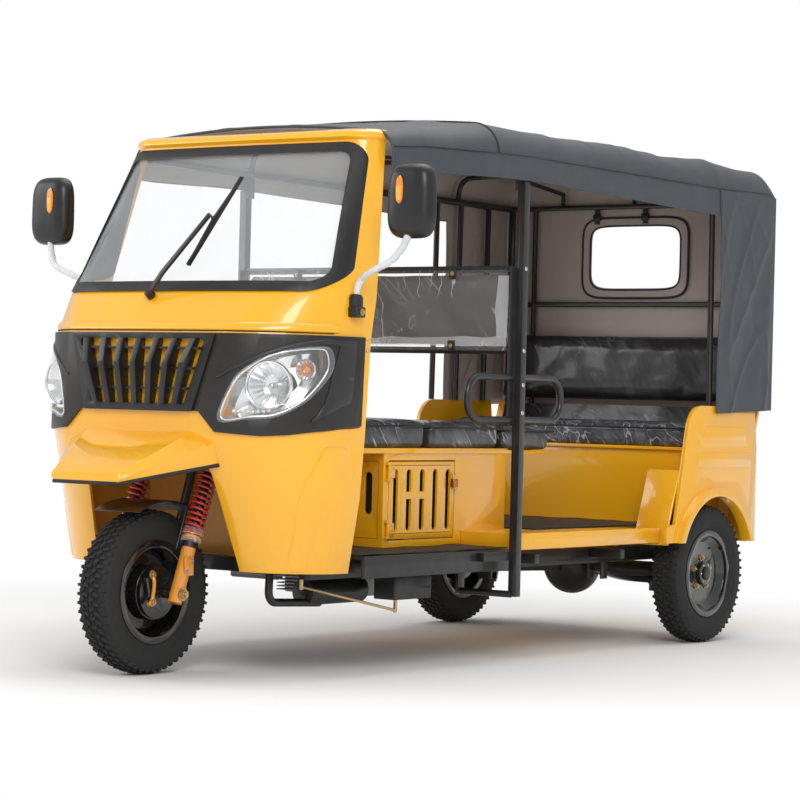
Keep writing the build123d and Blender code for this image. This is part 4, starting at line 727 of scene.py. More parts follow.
# ------------------------------------------------------------- mesh making
class Workshop:
    """Makes plain mesh objects and fits them to the frame's bodies."""

    def __init__(self, frame: dict[str, Any]) -> None:
        """Keep the frame's nodes.
        """
        self.nodes = frame["nodes"]
        self.shell = self._surface("cab_shell")

    def _surface(self, node: str) -> BVHTree:
        """Search tree over a node's triangles."""
        mesh = self.nodes[node].data
        corners = [tuple(v.co) for v in mesh.vertices]
        return BVHTree.FromPolygons(corners, [tuple(p.vertices) for p in mesh.polygons])

    def skin(self, x: float, z: float, proud: float = 0.0) -> tuple[Vector, Vector]:
        """Point on the cab's front at X and Z, and the outward normal there.

        Args:
            x: metres to the left.
            z: metres up.
            proud: how far to stand off along the normal.

        Returns:
            The point and the normal.
        """
        for height in (z, z - 0.03, z + 0.03, z - 0.08, z + 0.08):
            point, normal, _, _ = self.shell.ray_cast(
                Vector((x, RAY_START_Y, height)), Vector((0, 1, 0))
            )
            if point is not None:
                break
        if point is None:
            point, normal = Vector((x, at(0.1), z)), Vector((0, -1, 0))
        if normal.y > 0:
            normal = -normal
        return Vector((x, point.y, z)) + normal * proud, normal

    def solid(
        self, name: str, points: Iterable[Point], faces: Iterable[Sequence[int]],
        angle: float = 35.0
    ) -> bpy.types.Object:
        """Object from lists of corners and faces, its normals made to point outward.

        Args:
            name: the object's name.
            points: corners.
            faces: corner numbers of each face.
            angle: edges sharper than this stay sharp, in degrees.

        Returns:
            The object.
        """
        mesh = bpy.data.meshes.new(name)
        mesh.from_pydata([tuple(p) for p in points], [], [tuple(f) for f in faces])
        self.close(mesh, MERGE)
        made = link(name, mesh)
        self.shade(made, angle)
        return made

    def close(self, mesh: bpy.types.Mesh, gap: float) -> None:
        """Merge corners that lie together and make the faces look outward."""
        with edited(mesh) as work:
            bmesh.ops.remove_doubles(work, verts=work.verts, dist=gap)
            bmesh.ops.recalc_face_normals(work, faces=work.faces)

    def shade(self, made: bpy.types.Object, angle: float) -> None:
        """Smooth shading, but for edges sharper than the angle in degrees."""
        made.data.shade_smooth()
        made.data.set_sharp_from_angle(angle=math.radians(angle))

    def settle(self, made: bpy.types.Object, angle: float | None = None) -> bpy.types.Object:
        """Turn an object with its modifiers, or a curve, into a plain mesh object.

        Args:
            made: the object to convert.
            angle: edges sharper than this stay sharp, if the shading is redone.

        Returns:
            The object that holds the mesh.
        """
        name = made.name
        graph = bpy.context.evaluated_depsgraph_get()
        mesh = bpy.data.meshes.new_from_object(made.evaluated_get(graph), depsgraph=graph)
        if made.type == "MESH":
            made.modifiers.clear()
            made.data = mesh
        else:
            bpy.data.objects.remove(made)
            made = link(name, mesh)
        mesh.name = name
        if angle is not None:
            self.shade(made, angle)
        return made

    def smooth(self, made: bpy.types.Object, angle: float) -> bpy.types.Object:
        """Divide and round a mesh once; returns the object."""
        soft = made.modifiers.new("smooth", "SUBSURF")
        soft.levels = soft.render_levels = 1
        return self.settle(made, angle)

    def copy(
        self, node: str, name: str, bevel: float = 0.0, angle: float = 30.0
    ) -> bpy.types.Object:
        """Copy of a frame node with merged corners and softened edges.

        Args:
            node: the node's name.
            name: name of the copy.
            bevel: width of the softened edges in metres, or 0.
            angle: edges sharper than this are softened, in degrees.

        Returns:
            The copy, as a plain mesh.
        """
        mesh = self.nodes[node].data.copy()
        mesh.materials.clear()
        with edited(mesh) as work:
            bmesh.ops.remove_doubles(work, verts=work.verts, dist=NODE_MERGE)
            flat = math.radians(FLAT_DEGREES)
            bmesh.ops.dissolve_limit(work, angle_limit=flat, verts=work.verts, edges=work.edges)
        made = link(name, mesh)
        if bevel:
            soft = made.modifiers.new("soft_edges", "BEVEL")
            soft.width = bevel
            soft.segments = 2
            soft.limit_method = "ANGLE"
            soft.angle_limit = math.radians(angle)
            soft.use_clamp_overlap = True
            soft.harden_normals = False
            made = self.settle(made)
        self.shade(made, 34.0)
        return made

    def tube(
        self, name: str, points: Sequence[Point], radius: float, closed: bool = False,
        sharp: bool = False, turns: int = 3
    ) -> bpy.types.Object:
        """Round tube along a smooth line.

        Args:
            name: the object's name.
            points: control points of the line.
            radius: of the tube.
            closed: the line is a ring.
            sharp: run straight from point to point.
            turns: roundness of the section.

        Returns:
            The tube.
        """
        curve = bpy.data.curves.new(name, "CURVE")
        curve.dimensions = "3D"
        curve.bevel_depth = radius
        curve.bevel_resolution = turns
        curve.use_fill_caps = not closed
        line = curve.splines.new("POLY" if sharp else "NURBS")
        line.points.add(len(points) - 1)
        for corner, point in zip(line.points, points):
            corner.co = (*point, 1.0)
        line.use_cyclic_u = closed
        if not sharp:
            line.order_u = 3
            line.use_endpoint_u = not closed
            curve.resolution_u = 8
        return self.settle(link(name, curve), 50.0)

    def lathe(
        self, name: str, profile: Sequence[tuple[float, float]], centre: Point,
        way: Point = (1, 0, 0), sides: int = 72, angle: float = 30.0
    ) -> bpy.types.Object:
        """Closed ring of a profile turned about an axis.

        Args:
            name: the object's name.
            profile: distance along the axis and radius, as a closed outline.
            centre: where the axis starts.
            way: direction of the axis.
            sides: steps round the ring.
            angle: edges sharper than this stay sharp.

        Returns:
            The turned solid.
        """
        axis = Vector(way).normalized()
        side = axis.orthogonal().normalized()
        up = axis.cross(side)
        points, faces, rows = [], [], len(profile)
        for step in range(sides):
            turn = math.tau * step / sides
            out = side * math.cos(turn) + up * math.sin(turn)
            points += [Vector(centre) + axis * along + out * radius for along, radius in profile]
            for row in range(rows):
                a, b = step * rows + row, step * rows + (row + 1) % rows
                c, d = (
                    (step + 1) % sides
                ) * rows + (row + 1) % rows, ((step + 1) % sides) * rows + row
                faces.append((a, b, c, d))
        return self.solid(name, points, faces, angle)

    def slab(self, name: str, low: Point, high: Point, bevel: float = 0.002) -> bpy.types.Object:
        """Plain block with rounded edges between two corners."""
        work = bmesh.new()
        bmesh.ops.create_cube(work, size=1.0)
        size = Vector(high) - Vector(low)
        middle = (Vector(high) + Vector(low)) / 2
        bmesh.ops.transform(
            work, matrix=Matrix.Translation(middle) @ Matrix.Diagonal((*size, 1.0)),
            verts=work.verts
        )
        bmesh.ops.bevel(
            work, geom=work.edges, offset=bevel, segments=3, profile=0.5, affect="EDGES"
        )
        mesh = bpy.data.meshes.new(name)
        work.to_mesh(mesh)
        work.free()
        made = link(name, mesh)
        self.shade(made, 50.0)
        return made

    def grid(
        self, name: str, rows: int, columns: int, place: Callable[[float, float], Point],
        ring: bool = False, thick: float = 0.0, flat: tuple[float, float] | None = None
    ) -> bpy.types.Object:
        """Sheet over a grid, with a UV map in metres.

        Args:
            name: the object's name.
            rows: quads along the first direction.
            columns: quads along the second.
            place: gives the point for two shares between 0 and 1.
            ring: the second direction closes on itself.
            thick: thickness given behind the sheet, or 0.
            flat: size of the sheet for its UV map.

        Returns:
            The sheet.
        """
        across = columns if ring else columns + 1
        points = [place(i / rows, j / columns) for i in range(rows + 1) for j in range(across)]
        faces = []
        for i in range(rows):
            for j in range(columns):
                n = (j + 1) % across
                faces.append(
                    (i * across + j, i * across + n, (i + 1) * across + n, (i + 1) * across + j)
                )
        mesh = bpy.data.meshes.new(name)
        mesh.from_pydata([tuple(p) for p in points], [], faces)
        uv = mesh.uv_layers.new(name="UVMap")
        long, wide = flat or (1.0, 1.0)
        for face in mesh.polygons:
            i, j = divmod(face.index, columns)
            for loop, (down, over) in zip(face.loop_indices, ((0, 0), (0, 1), (1, 1), (1, 0))):
                uv.data[loop].uv = ((i + down) / rows * long, (j + over) / columns * wide)
        made = link(name, mesh)
        if thick:
            mesh.materials.append(None)
            mesh.materials.append(None)
            wall = made.modifiers.new("thickness", "SOLIDIFY")
            wall.thickness = abs(thick)
            wall.offset = -1.0 if thick > 0 else 1.0
            wall.material_offset = 1
            wall.material_offset_rim = 0
            made = self.settle(made)
        self.shade(made, 60.0)
        return made

    def fit(self, made: bpy.types.Object, body: str, finish: Finishes, *nodes: str,
            inner: Finishes | None = None) -> bpy.types.Object:
        """Give a piece its finish and fix it to a body.

        Args:
            made: the piece.
            body: body that it moves with.
            finish: its finish.
            nodes: frame nodes that it stands for.
            inner: finish of its second material, if it has one.

        Returns:
            The piece.
        """
        slots = made.data.materials
        while len(slots) < (1 if inner is None else 2):
            slots.append(None)
        for index in range(len(slots)):
            slots[index] = (finish if index == 0 or inner is None else inner).material
        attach(made, body)
        if nodes:
            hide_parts(*nodes)
        finish.slot
        log.info("fitted %s to %s (%d faces)", made.name, body, len(made.data.polygons))
        return made


# ------------------------------------------------------- repeating patterns
class Pattern:
    """A Geometry Nodes tree with named inputs that makes what repeats."""

    KINDS = {int: "NodeSocketInt", float: "NodeSocketFloat", tuple: "NodeSocketVector"}

    def __init__(self, name: str, **inputs: Any) -> None:
        """Start the tree.

        Args:
            name: the tree's name.
            inputs: its inputs with their default values.
        """
        self.tree = bpy.data.node_groups.new(name, "GeometryNodeTree")
        face = self.tree.interface
        face.new_socket("Geometry", in_out="INPUT", socket_type="NodeSocketGeometry")
        for label, value in inputs.items():
            face.new_socket(
                label, in_out="INPUT", socket_type=self.KINDS[type(value)]
            ).default_value = value
        face.new_socket("Geometry", in_out="OUTPUT", socket_type="NodeSocketGeometry")
        self.given = self.tree.nodes.new("NodeGroupInput").outputs

    def add(
        self, kind: str, settings: dict[str, Any] | None = None, values: Any = None
    ) -> bpy.types.NodeOutputs:
        """Add a node, set it up and wire it; returns its outputs."""
        return wired(self.tree, kind, settings, values).outputs

    def joined(self, *parts: bpy.types.NodeSocket) -> bpy.types.NodeSocket:
        """Several geometries as one."""
        node = self.tree.nodes.new("GeometryNodeJoinGeometry")
        for part in reversed(parts):
            self.tree.links.new(part, node.inputs[0])
        return node.outputs[0]

    def turned(self, vector: bpy.types.NodeSocket, axis: str = "Z") -> bpy.types.NodeSocket:
        """Rotation that points one axis along a vector."""
        return self.add("FunctionNodeAlignRotationToVector", {"axis": axis}, {"Vector": vector})[0]

    def facing(self) -> bpy.types.NodeSocket:
        """Direction stored on each carrier point."""
        read = self.add(
            "GeometryNodeInputNamedAttribute", {"data_type": "FLOAT_VECTOR"}, {"Name": "facing"}
        )
        return read["Attribute"]

    def spread(
        self, points: bpy.types.NodeSocket, piece: bpy.types.NodeSocket, turn: Any = None
    ) -> bpy.types.NodeSocket:
        """Copies of a piece on points."""
        return self.add(
            "GeometryNodeInstanceOnPoints", None,
            {"Points": points, "Instance": piece, "Rotation": turn}
        )[0]

    def end(self, geometry: bpy.types.NodeSocket) -> "Pattern":
        """Close the tree with real copies of one material."""
        real = self.add("GeometryNodeRealizeInstances", None, [geometry])[0]
        self.dress = self.tree.nodes.new("GeometryNodeSetMaterial")
        self.tree.links.new(real, self.dress.inputs["Geometry"])
        last = self.tree.nodes.new("NodeGroupOutput")
        self.tree.links.new(self.dress.outputs[0], last.inputs[0])
        return self

    def run(
        self, shop: Workshop, name: str, finish: Finishes, carriers: Sequence[tuple[Point, Point]],
        path: bool = False, **values: Any
    ) -> bpy.types.Object:
        """Make the pattern on carrier points.

        Args:
            shop: the workshop.
            name: the new piece's name.
            finish: its finish.
            carriers: points with the direction that each one faces.
            path: join the points into a line.
            values: inputs that differ from their defaults.

        Returns:
            A plain mesh object.
        """
        mesh = bpy.data.meshes.new(name)
        edges = [(i, i + 1) for i in range(len(carriers) - 1)] if path else []
        mesh.from_pydata([tuple(point) for point, _ in carriers], edges, [])
        ways = mesh.attributes.new("facing", "FLOAT_VECTOR", "POINT")
        for item, (_, way) in zip(ways.data, carriers):
            item.vector = tuple(way)
        made = link(name, mesh)
        self.dress.inputs["Material"].default_value = finish.material
        step = made.modifiers.new(name, "NODES")
        step.node_group = self.tree
        for item in self.tree.interface.items_tree:
            if item.in_out == "INPUT" and item.name in values:
                step[item.identifier] = values[item.name]
        return shop.settle(made, 35.0)


class Patterns:
    """The repeating details of the vehicle, each tree made once."""

    def __init__(self, shop: Workshop) -> None:
        """Build the trees."""
        self.shop = shop
        self.nuts = self._nuts()
        self.screws = self._screws()
        self.blocks = self._blocks()
        self.coil = self._coil()
        self.ribs = self._ribs()
        self.stitches = self._stitches()
        self.rings = self._rings()

    def _nuts(self) -> Pattern:
        """Hexagon nut on a washer with the stud's end standing out."""
        p = Pattern("hexagon_nuts", Radius=0.008, Height=0.008)
        radius, height = p.given["Radius"], p.given["Height"]

        def share(value: bpy.types.NodeSocket, part: float) -> bpy.types.NodeSocket:
            return p.add("ShaderNodeMath", {"operation": "MULTIPLY"}, [value, part])[0]

        def disc(sides: int, size: float, tall: float) -> bpy.types.NodeSocket:
            depth = share(height, tall)
            body = p.add(
                "GeometryNodeMeshCylinder", None,
                {"Vertices": sides, "Radius": share(radius, size), "Depth": depth}
            )[0]
            lift = p.add("ShaderNodeCombineXYZ", None, {"Z": share(depth, 0.5)})[0]
            return p.add("GeometryNodeTransform", None, {"Geometry": body, "Translation": lift})[0]

        piece = p.joined(disc(20, 1.35, 0.25), disc(6, 1.0, 1.0), disc(12, 0.5, 1.45))
        return p.end(p.spread(p.given["Geometry"], piece, p.turned(p.facing())))

    def _screws(self) -> Pattern:
        """Round-headed screw or rivet."""
        p = Pattern("round_screws", Radius=0.006, Height=0.003)
        head = p.add(
            "GeometryNodeMeshUVSphere", None,
            {"Segments": 14, "Rings": 8, "Radius": p.given["Radius"]}
        )[0]
        flat = p.add(
            "ShaderNodeMath", {"operation": "DIVIDE"}, [p.given["Height"], p.given["Radius"]]
        )[0]
        size = p.add("ShaderNodeCombineXYZ", None, {"X": 1.0, "Y": 1.0, "Z": flat})[0]
        head = p.add("GeometryNodeTransform", None, {"Geometry": head, "Scale": size})[0]
        return p.end(p.spread(p.given["Geometry"], head, p.turned(p.facing())))

    def _blocks(self) -> Pattern:
        """Ring of tread blocks round an axle along X."""
        p = Pattern("tread_blocks", Count=56, Radius=0.27, Size=(0.02, 0.02, 0.01), Slant=0.0)
        ring = p.add(
            "GeometryNodeMeshCircle", None,
            {"Vertices": p.given["Count"], "Radius": p.given["Radius"]}
        )[0]
        block = p.add("GeometryNodeMeshCube", None, {"Size": p.given["Size"]})[0]
        lean = p.add("ShaderNodeCombineXYZ", None, {"Z": p.given["Slant"]})[0]
        block = p.add("GeometryNodeTransform", None, {"Geometry": block, "Rotation": lean})[0]
        where = p.add("GeometryNodeInputPosition")[0]
        turn = p.turned(where)
        around = p.spread(ring, block, turn)
        around = p.add(
            "GeometryNodeTransform", None, {"Geometry": around, "Rotation": (0.0, math.pi / 2, 0.0)}
        )[0]
        return p.end(p.spread(p.given["Geometry"], around))

    def _coil(self) -> Pattern:
        """Compression spring along each carrier's direction."""
        p = Pattern("coil_springs", Turns=11.0, Radius=0.028, Length=0.26, Wire=0.0045)
        line = p.add(
            "GeometryNodeCurveSpiral",
            None,
            {"Resolution": 28, "Rotations": p.given["Turns"], "Start Radius": p.given["Radius"],
             "End Radius": p.given["Radius"], "Height": p.given["Length"]},
        )[0]
        ring = p.add(
            "GeometryNodeCurvePrimitiveCircle", {"mode": "RADIUS"},
            {"Resolution": 10, "Radius": p.given["Wire"]}
        )[0]
        wire = p.add(
            "GeometryNodeCurveToMesh", None,
            {"Curve": line, "Profile Curve": ring, "Fill Caps": True}
        )[0]
        return p.end(p.spread(p.given["Geometry"], wire, p.turned(p.facing())))

    def _ribs(self) -> Pattern:
        """Row of plain bars from each carrier point."""
        p = Pattern("rows_of_ribs", Count=10, Step=(0.0, 0.02, 0.0), Size=(0.1, 0.004, 0.004))
        row = p.add(
            "GeometryNodeMeshLine", {"mode": "OFFSET"},
            {"Count": p.given["Count"], "Offset": p.given["Step"]}
        )[0]
        bar = p.add("GeometryNodeMeshCube", None, {"Size": p.given["Size"]})[0]
        return p.end(p.spread(p.given["Geometry"], p.spread(row, bar)))

    def _stitches(self) -> Pattern:
        """Run of thread stitches along a line."""
        p = Pattern("thread_stitches", Pitch=0.009, Length=0.006, Radius=0.0009)
        line = p.add("GeometryNodeMeshToCurve", None, [p.given["Geometry"]])[0]
        run = p.add(
            "GeometryNodeCurveToPoints", {"mode": "LENGTH"},
            {"Curve": line, "Length": p.given["Pitch"]}
        )
        bar = p.add(
            "GeometryNodeMeshCylinder", None,
            {"Vertices": 5, "Radius": p.given["Radius"], "Depth": p.given["Length"]}
        )[0]
        return p.end(p.spread(run["Points"], bar, p.turned(run["Tangent"])))

    def _rings(self) -> Pattern:
        """Rings set one after another along each carrier's direction, as on a grip."""
        p = Pattern("stacked_rings", Count=14, Pitch=0.007, Radius=0.0172, Bead=0.0016)
        lift = p.add("ShaderNodeCombineXYZ", None, {"Z": p.given["Pitch"]})[0]
        row = p.add(
            "GeometryNodeMeshLine", {"mode": "OFFSET"}, {"Count": p.given["Count"], "Offset": lift}
        )[0]
        circle = p.add(
            "GeometryNodeCurvePrimitiveCircle", {"mode": "RADIUS"},
            {"Resolution": 20, "Radius": p.given["Radius"]}
        )[0]
        bead = p.add(
            "GeometryNodeCurvePrimitiveCircle", {"mode": "RADIUS"},
            {"Resolution": 6, "Radius": p.given["Bead"]}
        )[0]
        ring = p.add("GeometryNodeCurveToMesh", None, {"Curve": circle, "Profile Curve": bead})[0]
        return p.end(p.spread(p.given["Geometry"], p.spread(row, ring), p.turned(p.facing())))


# -------------------------------------------------------------- assemblies
@dataclass(frozen=True)
class Dressed:
    """A frame node that keeps its shape and gets soft edges and a finish."""

    node: str
    name: str
    finish: Finishes
    bevel: float = 0.0015
    angle: float = 30.0


@dataclass
class Assembly:
    """A group of pieces on one body."""

    shop: Workshop
    patterns: Patterns
    body: str = "chassis"
    panels: tuple[Dressed, ...] = ()

    def put(self, made: bpy.types.Object, finish: Finishes, *nodes: str, **more: Any) -> None:
        """Finish a piece and fix it to this group's body, or to another one.

        Args:
            made: the piece.
            finish: its finish.
            nodes: frame nodes that it stands for.
            more: another body, or the finish of its second material.
        """
        self.shop.fit(made, more.pop("body", self.body), finish, *nodes, **more)

    def repeat(
        self, pattern: Pattern, name: str, finish: Finishes,
        carriers: Sequence[tuple[Point, Point]], *nodes: str, body: str | None = None, **values: Any
    ) -> None:
        """Run a pattern and fix what it makes.

        Args:
            pattern: what repeats.
            name: the new piece's name.
            finish: its finish.
            carriers: points with the direction that each one faces.
            nodes: frame nodes that it stands for.
            body: another body than the group's.
            values: the pattern's inputs.
        """
        made = pattern.run(self.shop, name, finish, carriers, **values)
        self.put(made, finish, *nodes, body=body or self.body)

    def dress(self) -> None:
        """Copy and finish the plain panels."""
        for panel in self.panels:
            made = self.shop.copy(panel.node, panel.name, panel.bevel, panel.angle)
            self.put(made, panel.finish, panel.node)

    def build(self) -> None:
        """Build every piece of the group."""
        self.dress()


@dataclass
class NoseCab(Assembly):
    """Moulded nose with its mask, grille, lamps and windshield."""

    panels: tuple[Dressed, ...] = (
        Dressed("cab_shell", "cab_skin", Finishes.BODY, 0.004, 24.0),
        Dressed("cab_mask", "nose_mask", Finishes.MASK, 0.003, 24.0),
        Dressed("grille", "grille_bars", Finishes.MIRROR, 0.0025, 24.0),
        Dressed("beak", "nose_mudguard", Finishes.BODY, 0.004, 24.0),
        Dressed("windshield_gasket", "windshield_seal", Finishes.SEAL, 0.0055, 30.0),
        Dressed("windshield", "windshield_pane", Finishes.GLASS, 0.0, 30.0),
        Dressed("wheel_well", "wheel_well_liner", Finishes.SHADED_WELL, 0.002, 30.0),
        Dressed("dashboard", "dash_panel", Finishes.MASK, 0.006, 24.0),
    )
    lamp_outline: tuple[tuple[float, float], ...] = (
        (0.338, 0.858), (0.426, 0.864), (0.490, 0.873), (0.547, 0.924), (0.582, 1.017),
        (0.582, 1.094), (0.563, 1.101), (0.478, 1.077), (0.411, 1.026), (0.376, 0.983)
    )
    levels: tuple[tuple[float, ...], ...] = (
        # z, nose station, x and station where the corner starts and where it ends
        (0.354, 0.100, 0.330, 0.118, 0.566, 0.292), (0.600, 0.022, 0.335, 0.038, 0.592, 0.312),
        (0.810, -0.054, 0.335, -0.040, 0.592, 0.334), (1.140, -0.036, 0.335, -0.022, 0.604, 0.340),
        (1.275, 0.078, 0.430, 0.110, 0.603, 0.378),
    )
    bulge: float = 0.16
    bowl_centre: tuple[float, float] = (0.470, 0.972)
    bowl_radius: float = 0.072
    lamp_depth: float = 0.075
    flange_screws: tuple[float, ...] = (1.133, 1.096)
    swoosh: tuple[tuple[float, float, float], ...] = (
        # x, z and half width of the raised line round each lamp
        (0.329, 0.995, 0.002), (0.363, 1.019, 0.004), (0.412, 1.049, 0.006), (0.457, 1.073, 0.007),
        (0.508, 1.097, 0.007), (0.551, 1.112, 0.006), (0.582, 1.119, 0.007), (0.601, 1.116, 0.010),
        (0.604, 1.095, 0.012), (0.603, 1.057, 0.014), (0.600, 1.007, 0.016), (0.594, 0.960, 0.014),
        (0.585, 0.918, 0.010), (0.573, 0.883, 0.006), (0.556, 0.855, 0.001),
    )
    crease: tuple[tuple[float, float], ...] = (
        # x and z of the pressed line down each wing
        (0.582, 0.772), (0.574, 0.736), (0.561, 0.691), (0.545, 0.653), (0.528, 0.580),
        (0.505, 0.464), (0.489, 0.401), (0.480, 0.365),
    )

    def build(self) -> None:
        """Build every piece of the nose."""
        self.dress()
        for side, name in SIDES:
            self.headlamp(side, name)
            self.relief(side, name)
        self.wiper()
        self.trims()

    def strip(
        self, name: str, rows: Sequence[tuple[Vector, Vector]], lift: float,
        shape: Callable[[float], float], finish: Finishes, across: int = 8
    ) -> None:
        """Low relief between two lines on the skin.

        Args:
            name: the object's name.
            rows: pairs of points, one pair for each step along the relief.
            lift: its greatest height.
            shape: share of that height for a share of the width.
            finish: its finish.
            across: steps across it.
        """
        def place(share: float, turn: float) -> Point:
            along = share * (len(rows) - 1)
            k = min(int(along), len(rows) - 2)
            left = rows[k][0].lerp(rows[k + 1][0], along - k)
            right = rows[k][1].lerp(rows[k + 1][1], along - k)
            x, z = left.lerp(right, turn)
            return self.cover(x, z, lift * shape(turn))

        self.put(
            self.shop.grid(name, 6 * (len(rows) - 1), across, place, thick=0.002, flat=(1.0, 0.1)),
            finish
        )

    def relief(self, side: int, name: str) -> None:
        """Raised line round a lamp and the pressed line of the wing below.

        Args:
            side: 1 for the left, -1 for the right.
            name: left or right.
        """
        rows: list[tuple[Vector, Vector]] = []
        spots = [Vector((x, z)) for x, z, _ in self.swoosh]
        for index, (_, _, half) in enumerate(self.swoosh):
            ahead = (spots[min(index + 1, len(spots) - 1)] - spots[max(index - 1, 0)]).normalized()
            out = Vector((-ahead.y, ahead.x)) * half
            low, high = spots[index] - out, spots[index] + out
            rows.append((Vector((side * low.x, low.y)), Vector((side * high.x, high.y))))
        self.strip(
            f"mask_swoosh_{name}", rows, 0.0045, lambda t: 2.2 + math.sin(math.pi * t) ** 0.7,
            Finishes.MASK_HIGHLIGHT
        )
        rows = [
            (Vector((side * (x - 0.006), z)), Vector((side * min(x + 0.040, 0.594), z)))
            for x, z in self.crease
        ]
        self.strip(
            f"wing_pressing_{name}", rows, 0.0042,
            lambda t: min(1.0, t * 4.0) ** 0.8 * (1.0 - t) ** 0.6 + 0.02, Finishes.BODY
        )

    def outline(self, shrink: float, steps: int = LAMP_STEPS) -> list[tuple[float, float]]:
        """Lamp outline resampled and drawn in towards its middle."""
        ring = [Vector(p) for p in self.lamp_outline]
        middle = sum(ring, Vector((0, 0))) / len(ring)
        lengths = [(ring[(i + 1) % len(ring)] - ring[i]).length for i in range(len(ring))]
        total, out = sum(lengths), []
        for step in range(steps):
            run = total * step / steps
            index = 0
            while run > lengths[index]:
                run -= lengths[index]
                index += 1
            p0, p1 = ring[index - 1], ring[index]
            p2, p3 = ring[(index + 1) % len(ring)], ring[(index + 2) % len(ring)]
            t = run / lengths[index]
            point = 0.5 * ((2 * p1) + (p2 - p0) * t + (2 * p0 - 5 * p1 + 4 * p2 - p3) * t * t
                           + (3 * p1 - p0 - 3 * p2 + p3) * t ** 3)
            out.append(tuple(middle + (point - middle) * (1.0 - shrink)))
        return out

    def headlamp(self, side: int, name: str) -> None:
        """Tray, reflector bowl, indicator, studs and lens of one headlamp.

        Args:
            side: 1 for the left, -1 for the right.
            name: left or right.
        """
        shop = self.shop
        middle = Vector((0.480, 0.975))

        def lens_point(share: float, turn: float) -> Vector:
            ring = self.outline(0.0)
            n = len(ring)
            k = turn * n
            a, b = Vector(ring[int(k) % n]), Vector(ring[(int(k) + 1) % n])
            edge = a.lerp(b, k - int(k))
            x, z = middle.lerp(edge, share)
            rise = 0.011 + 0.010 * (1.0 - share ** 3)
            return self.cover(side * x, z, rise)

        lens = shop.grid(f"headlamp_lens_{name}", 12, LAMP_STEPS, lens_point, ring=True)
        self.close_centre(lens)
        self.put(lens, Finishes.LENS)

        def tray_point(share: float, turn: float) -> Vector:
            rows = (
                (0.0, 0.008), (0.012, -0.004), (0.05, -0.035), (0.16, -self.lamp_depth),
                (0.55, -self.lamp_depth - 0.012)
            )
            at_row = min(int(share * (len(rows) - 1) + 1e-6), len(rows) - 1)
            shrink, depth = rows[at_row]
            ring = self.outline(shrink)
            x, z = ring[int(round(turn * len(ring))) % len(ring)]
            base = self.cover(side * x, z, 0.0)
            way = Vector((side * 0.35, -0.94, 0.0))
            return base + way * depth

        tray = shop.grid(f"headlamp_tray_{name}", 4, LAMP_STEPS, tray_point, ring=True)
        self.close_centre(tray)
        self.put(tray, Finishes.CHROME, *(("headlamps",) if side > 0 else ()))

        way = Vector((side * 0.30, -0.95, 0.02)).normalized()
        bx, bz = self.bowl_centre
        heart = self.cover(side * bx, bz, 0.0) - way * 0.062
        r = self.bowl_radius
        bowl = [(0.000, 0.004)] + [
            (0.052 * (k / 9) ** 2, 0.012 + (r - 0.012) * k / 9) for k in range(10)
        ]
        bowl += [(0.056, r + 0.004), (0.040, r + 0.006), (-0.006, 0.02), (-0.008, 0.004)]
        self.put(shop.lathe(f"headlamp_bowl_{name}", bowl, heart, way, 22, 6.0), Finishes.CHROME)
        bulb = [
            (0.0, 0.001), (0.002, 0.011), (0.020, 0.011), (0.030, 0.010), (0.036, 0.007),
            (0.039, 0.001)
        ]
        self.put(shop.lathe(f"headlamp_bulb_{name}", bulb, heart, way, 32), Finishes.STEEL)
        ring = [(0.050, r + 0.001), (0.060, r + 0.002), (0.062, r + 0.007), (0.050, r + 0.010)]
        self.put(shop.lathe(f"headlamp_rim_{name}", ring, heart, way, 56), Finishes.CHROME)
        small = self.cover(side * 0.544, 1.026, 0.0) - way * 0.040
        cup = [(0.0, 0.003)] + [
            (0.026 * (k / 6) ** 2, 0.006 + 0.026 * k / 6) for k in range(7)
        ] + [(0.02, 0.036), (-0.004, 0.010), (-0.004, 0.003)]
        self.put(shop.lathe(f"side_light_bowl_{name}", cup, small, way, 14, 6.0), Finishes.CHROME)
        bezel = [self.cover(side * x, z, 0.0075) for x, z in self.outline(0.045, 44)]
        self.put(shop.tube(f"headlamp_bezel_{name}", bezel, 0.0034, closed=True), Finishes.CHROME)
        rim = [self.cover(side * x, z, 0.0115) for x, z in self.outline(-0.006, 44)]
        self.put(shop.tube(f"headlamp_seal_{name}", rim, 0.0030, closed=True), Finishes.LENS)
        dome = [(0.0, 0.0005), (0.0, 0.012), (0.008, 0.011), (0.013, 0.007), (0.015, 0.0005)]
        self.put(
            shop.lathe(f"indicator_lens_{name}", dome, small + way * 0.004, way, 36), Finishes.AMBER
        )
        studs = []
        for k in range(9):
            t = k / 8
            x, z = 0.378 + 0.112 * t, 0.886 - 0.004 * math.sin(math.pi * t) + 0.004 * t
            studs.append((self.cover(side * x, z, -0.012), way))
        self.repeat(
            self.patterns.screws, f"lamp_studs_{name}", Finishes.CHROME, studs, Radius=0.0075,
            Height=0.006
        )

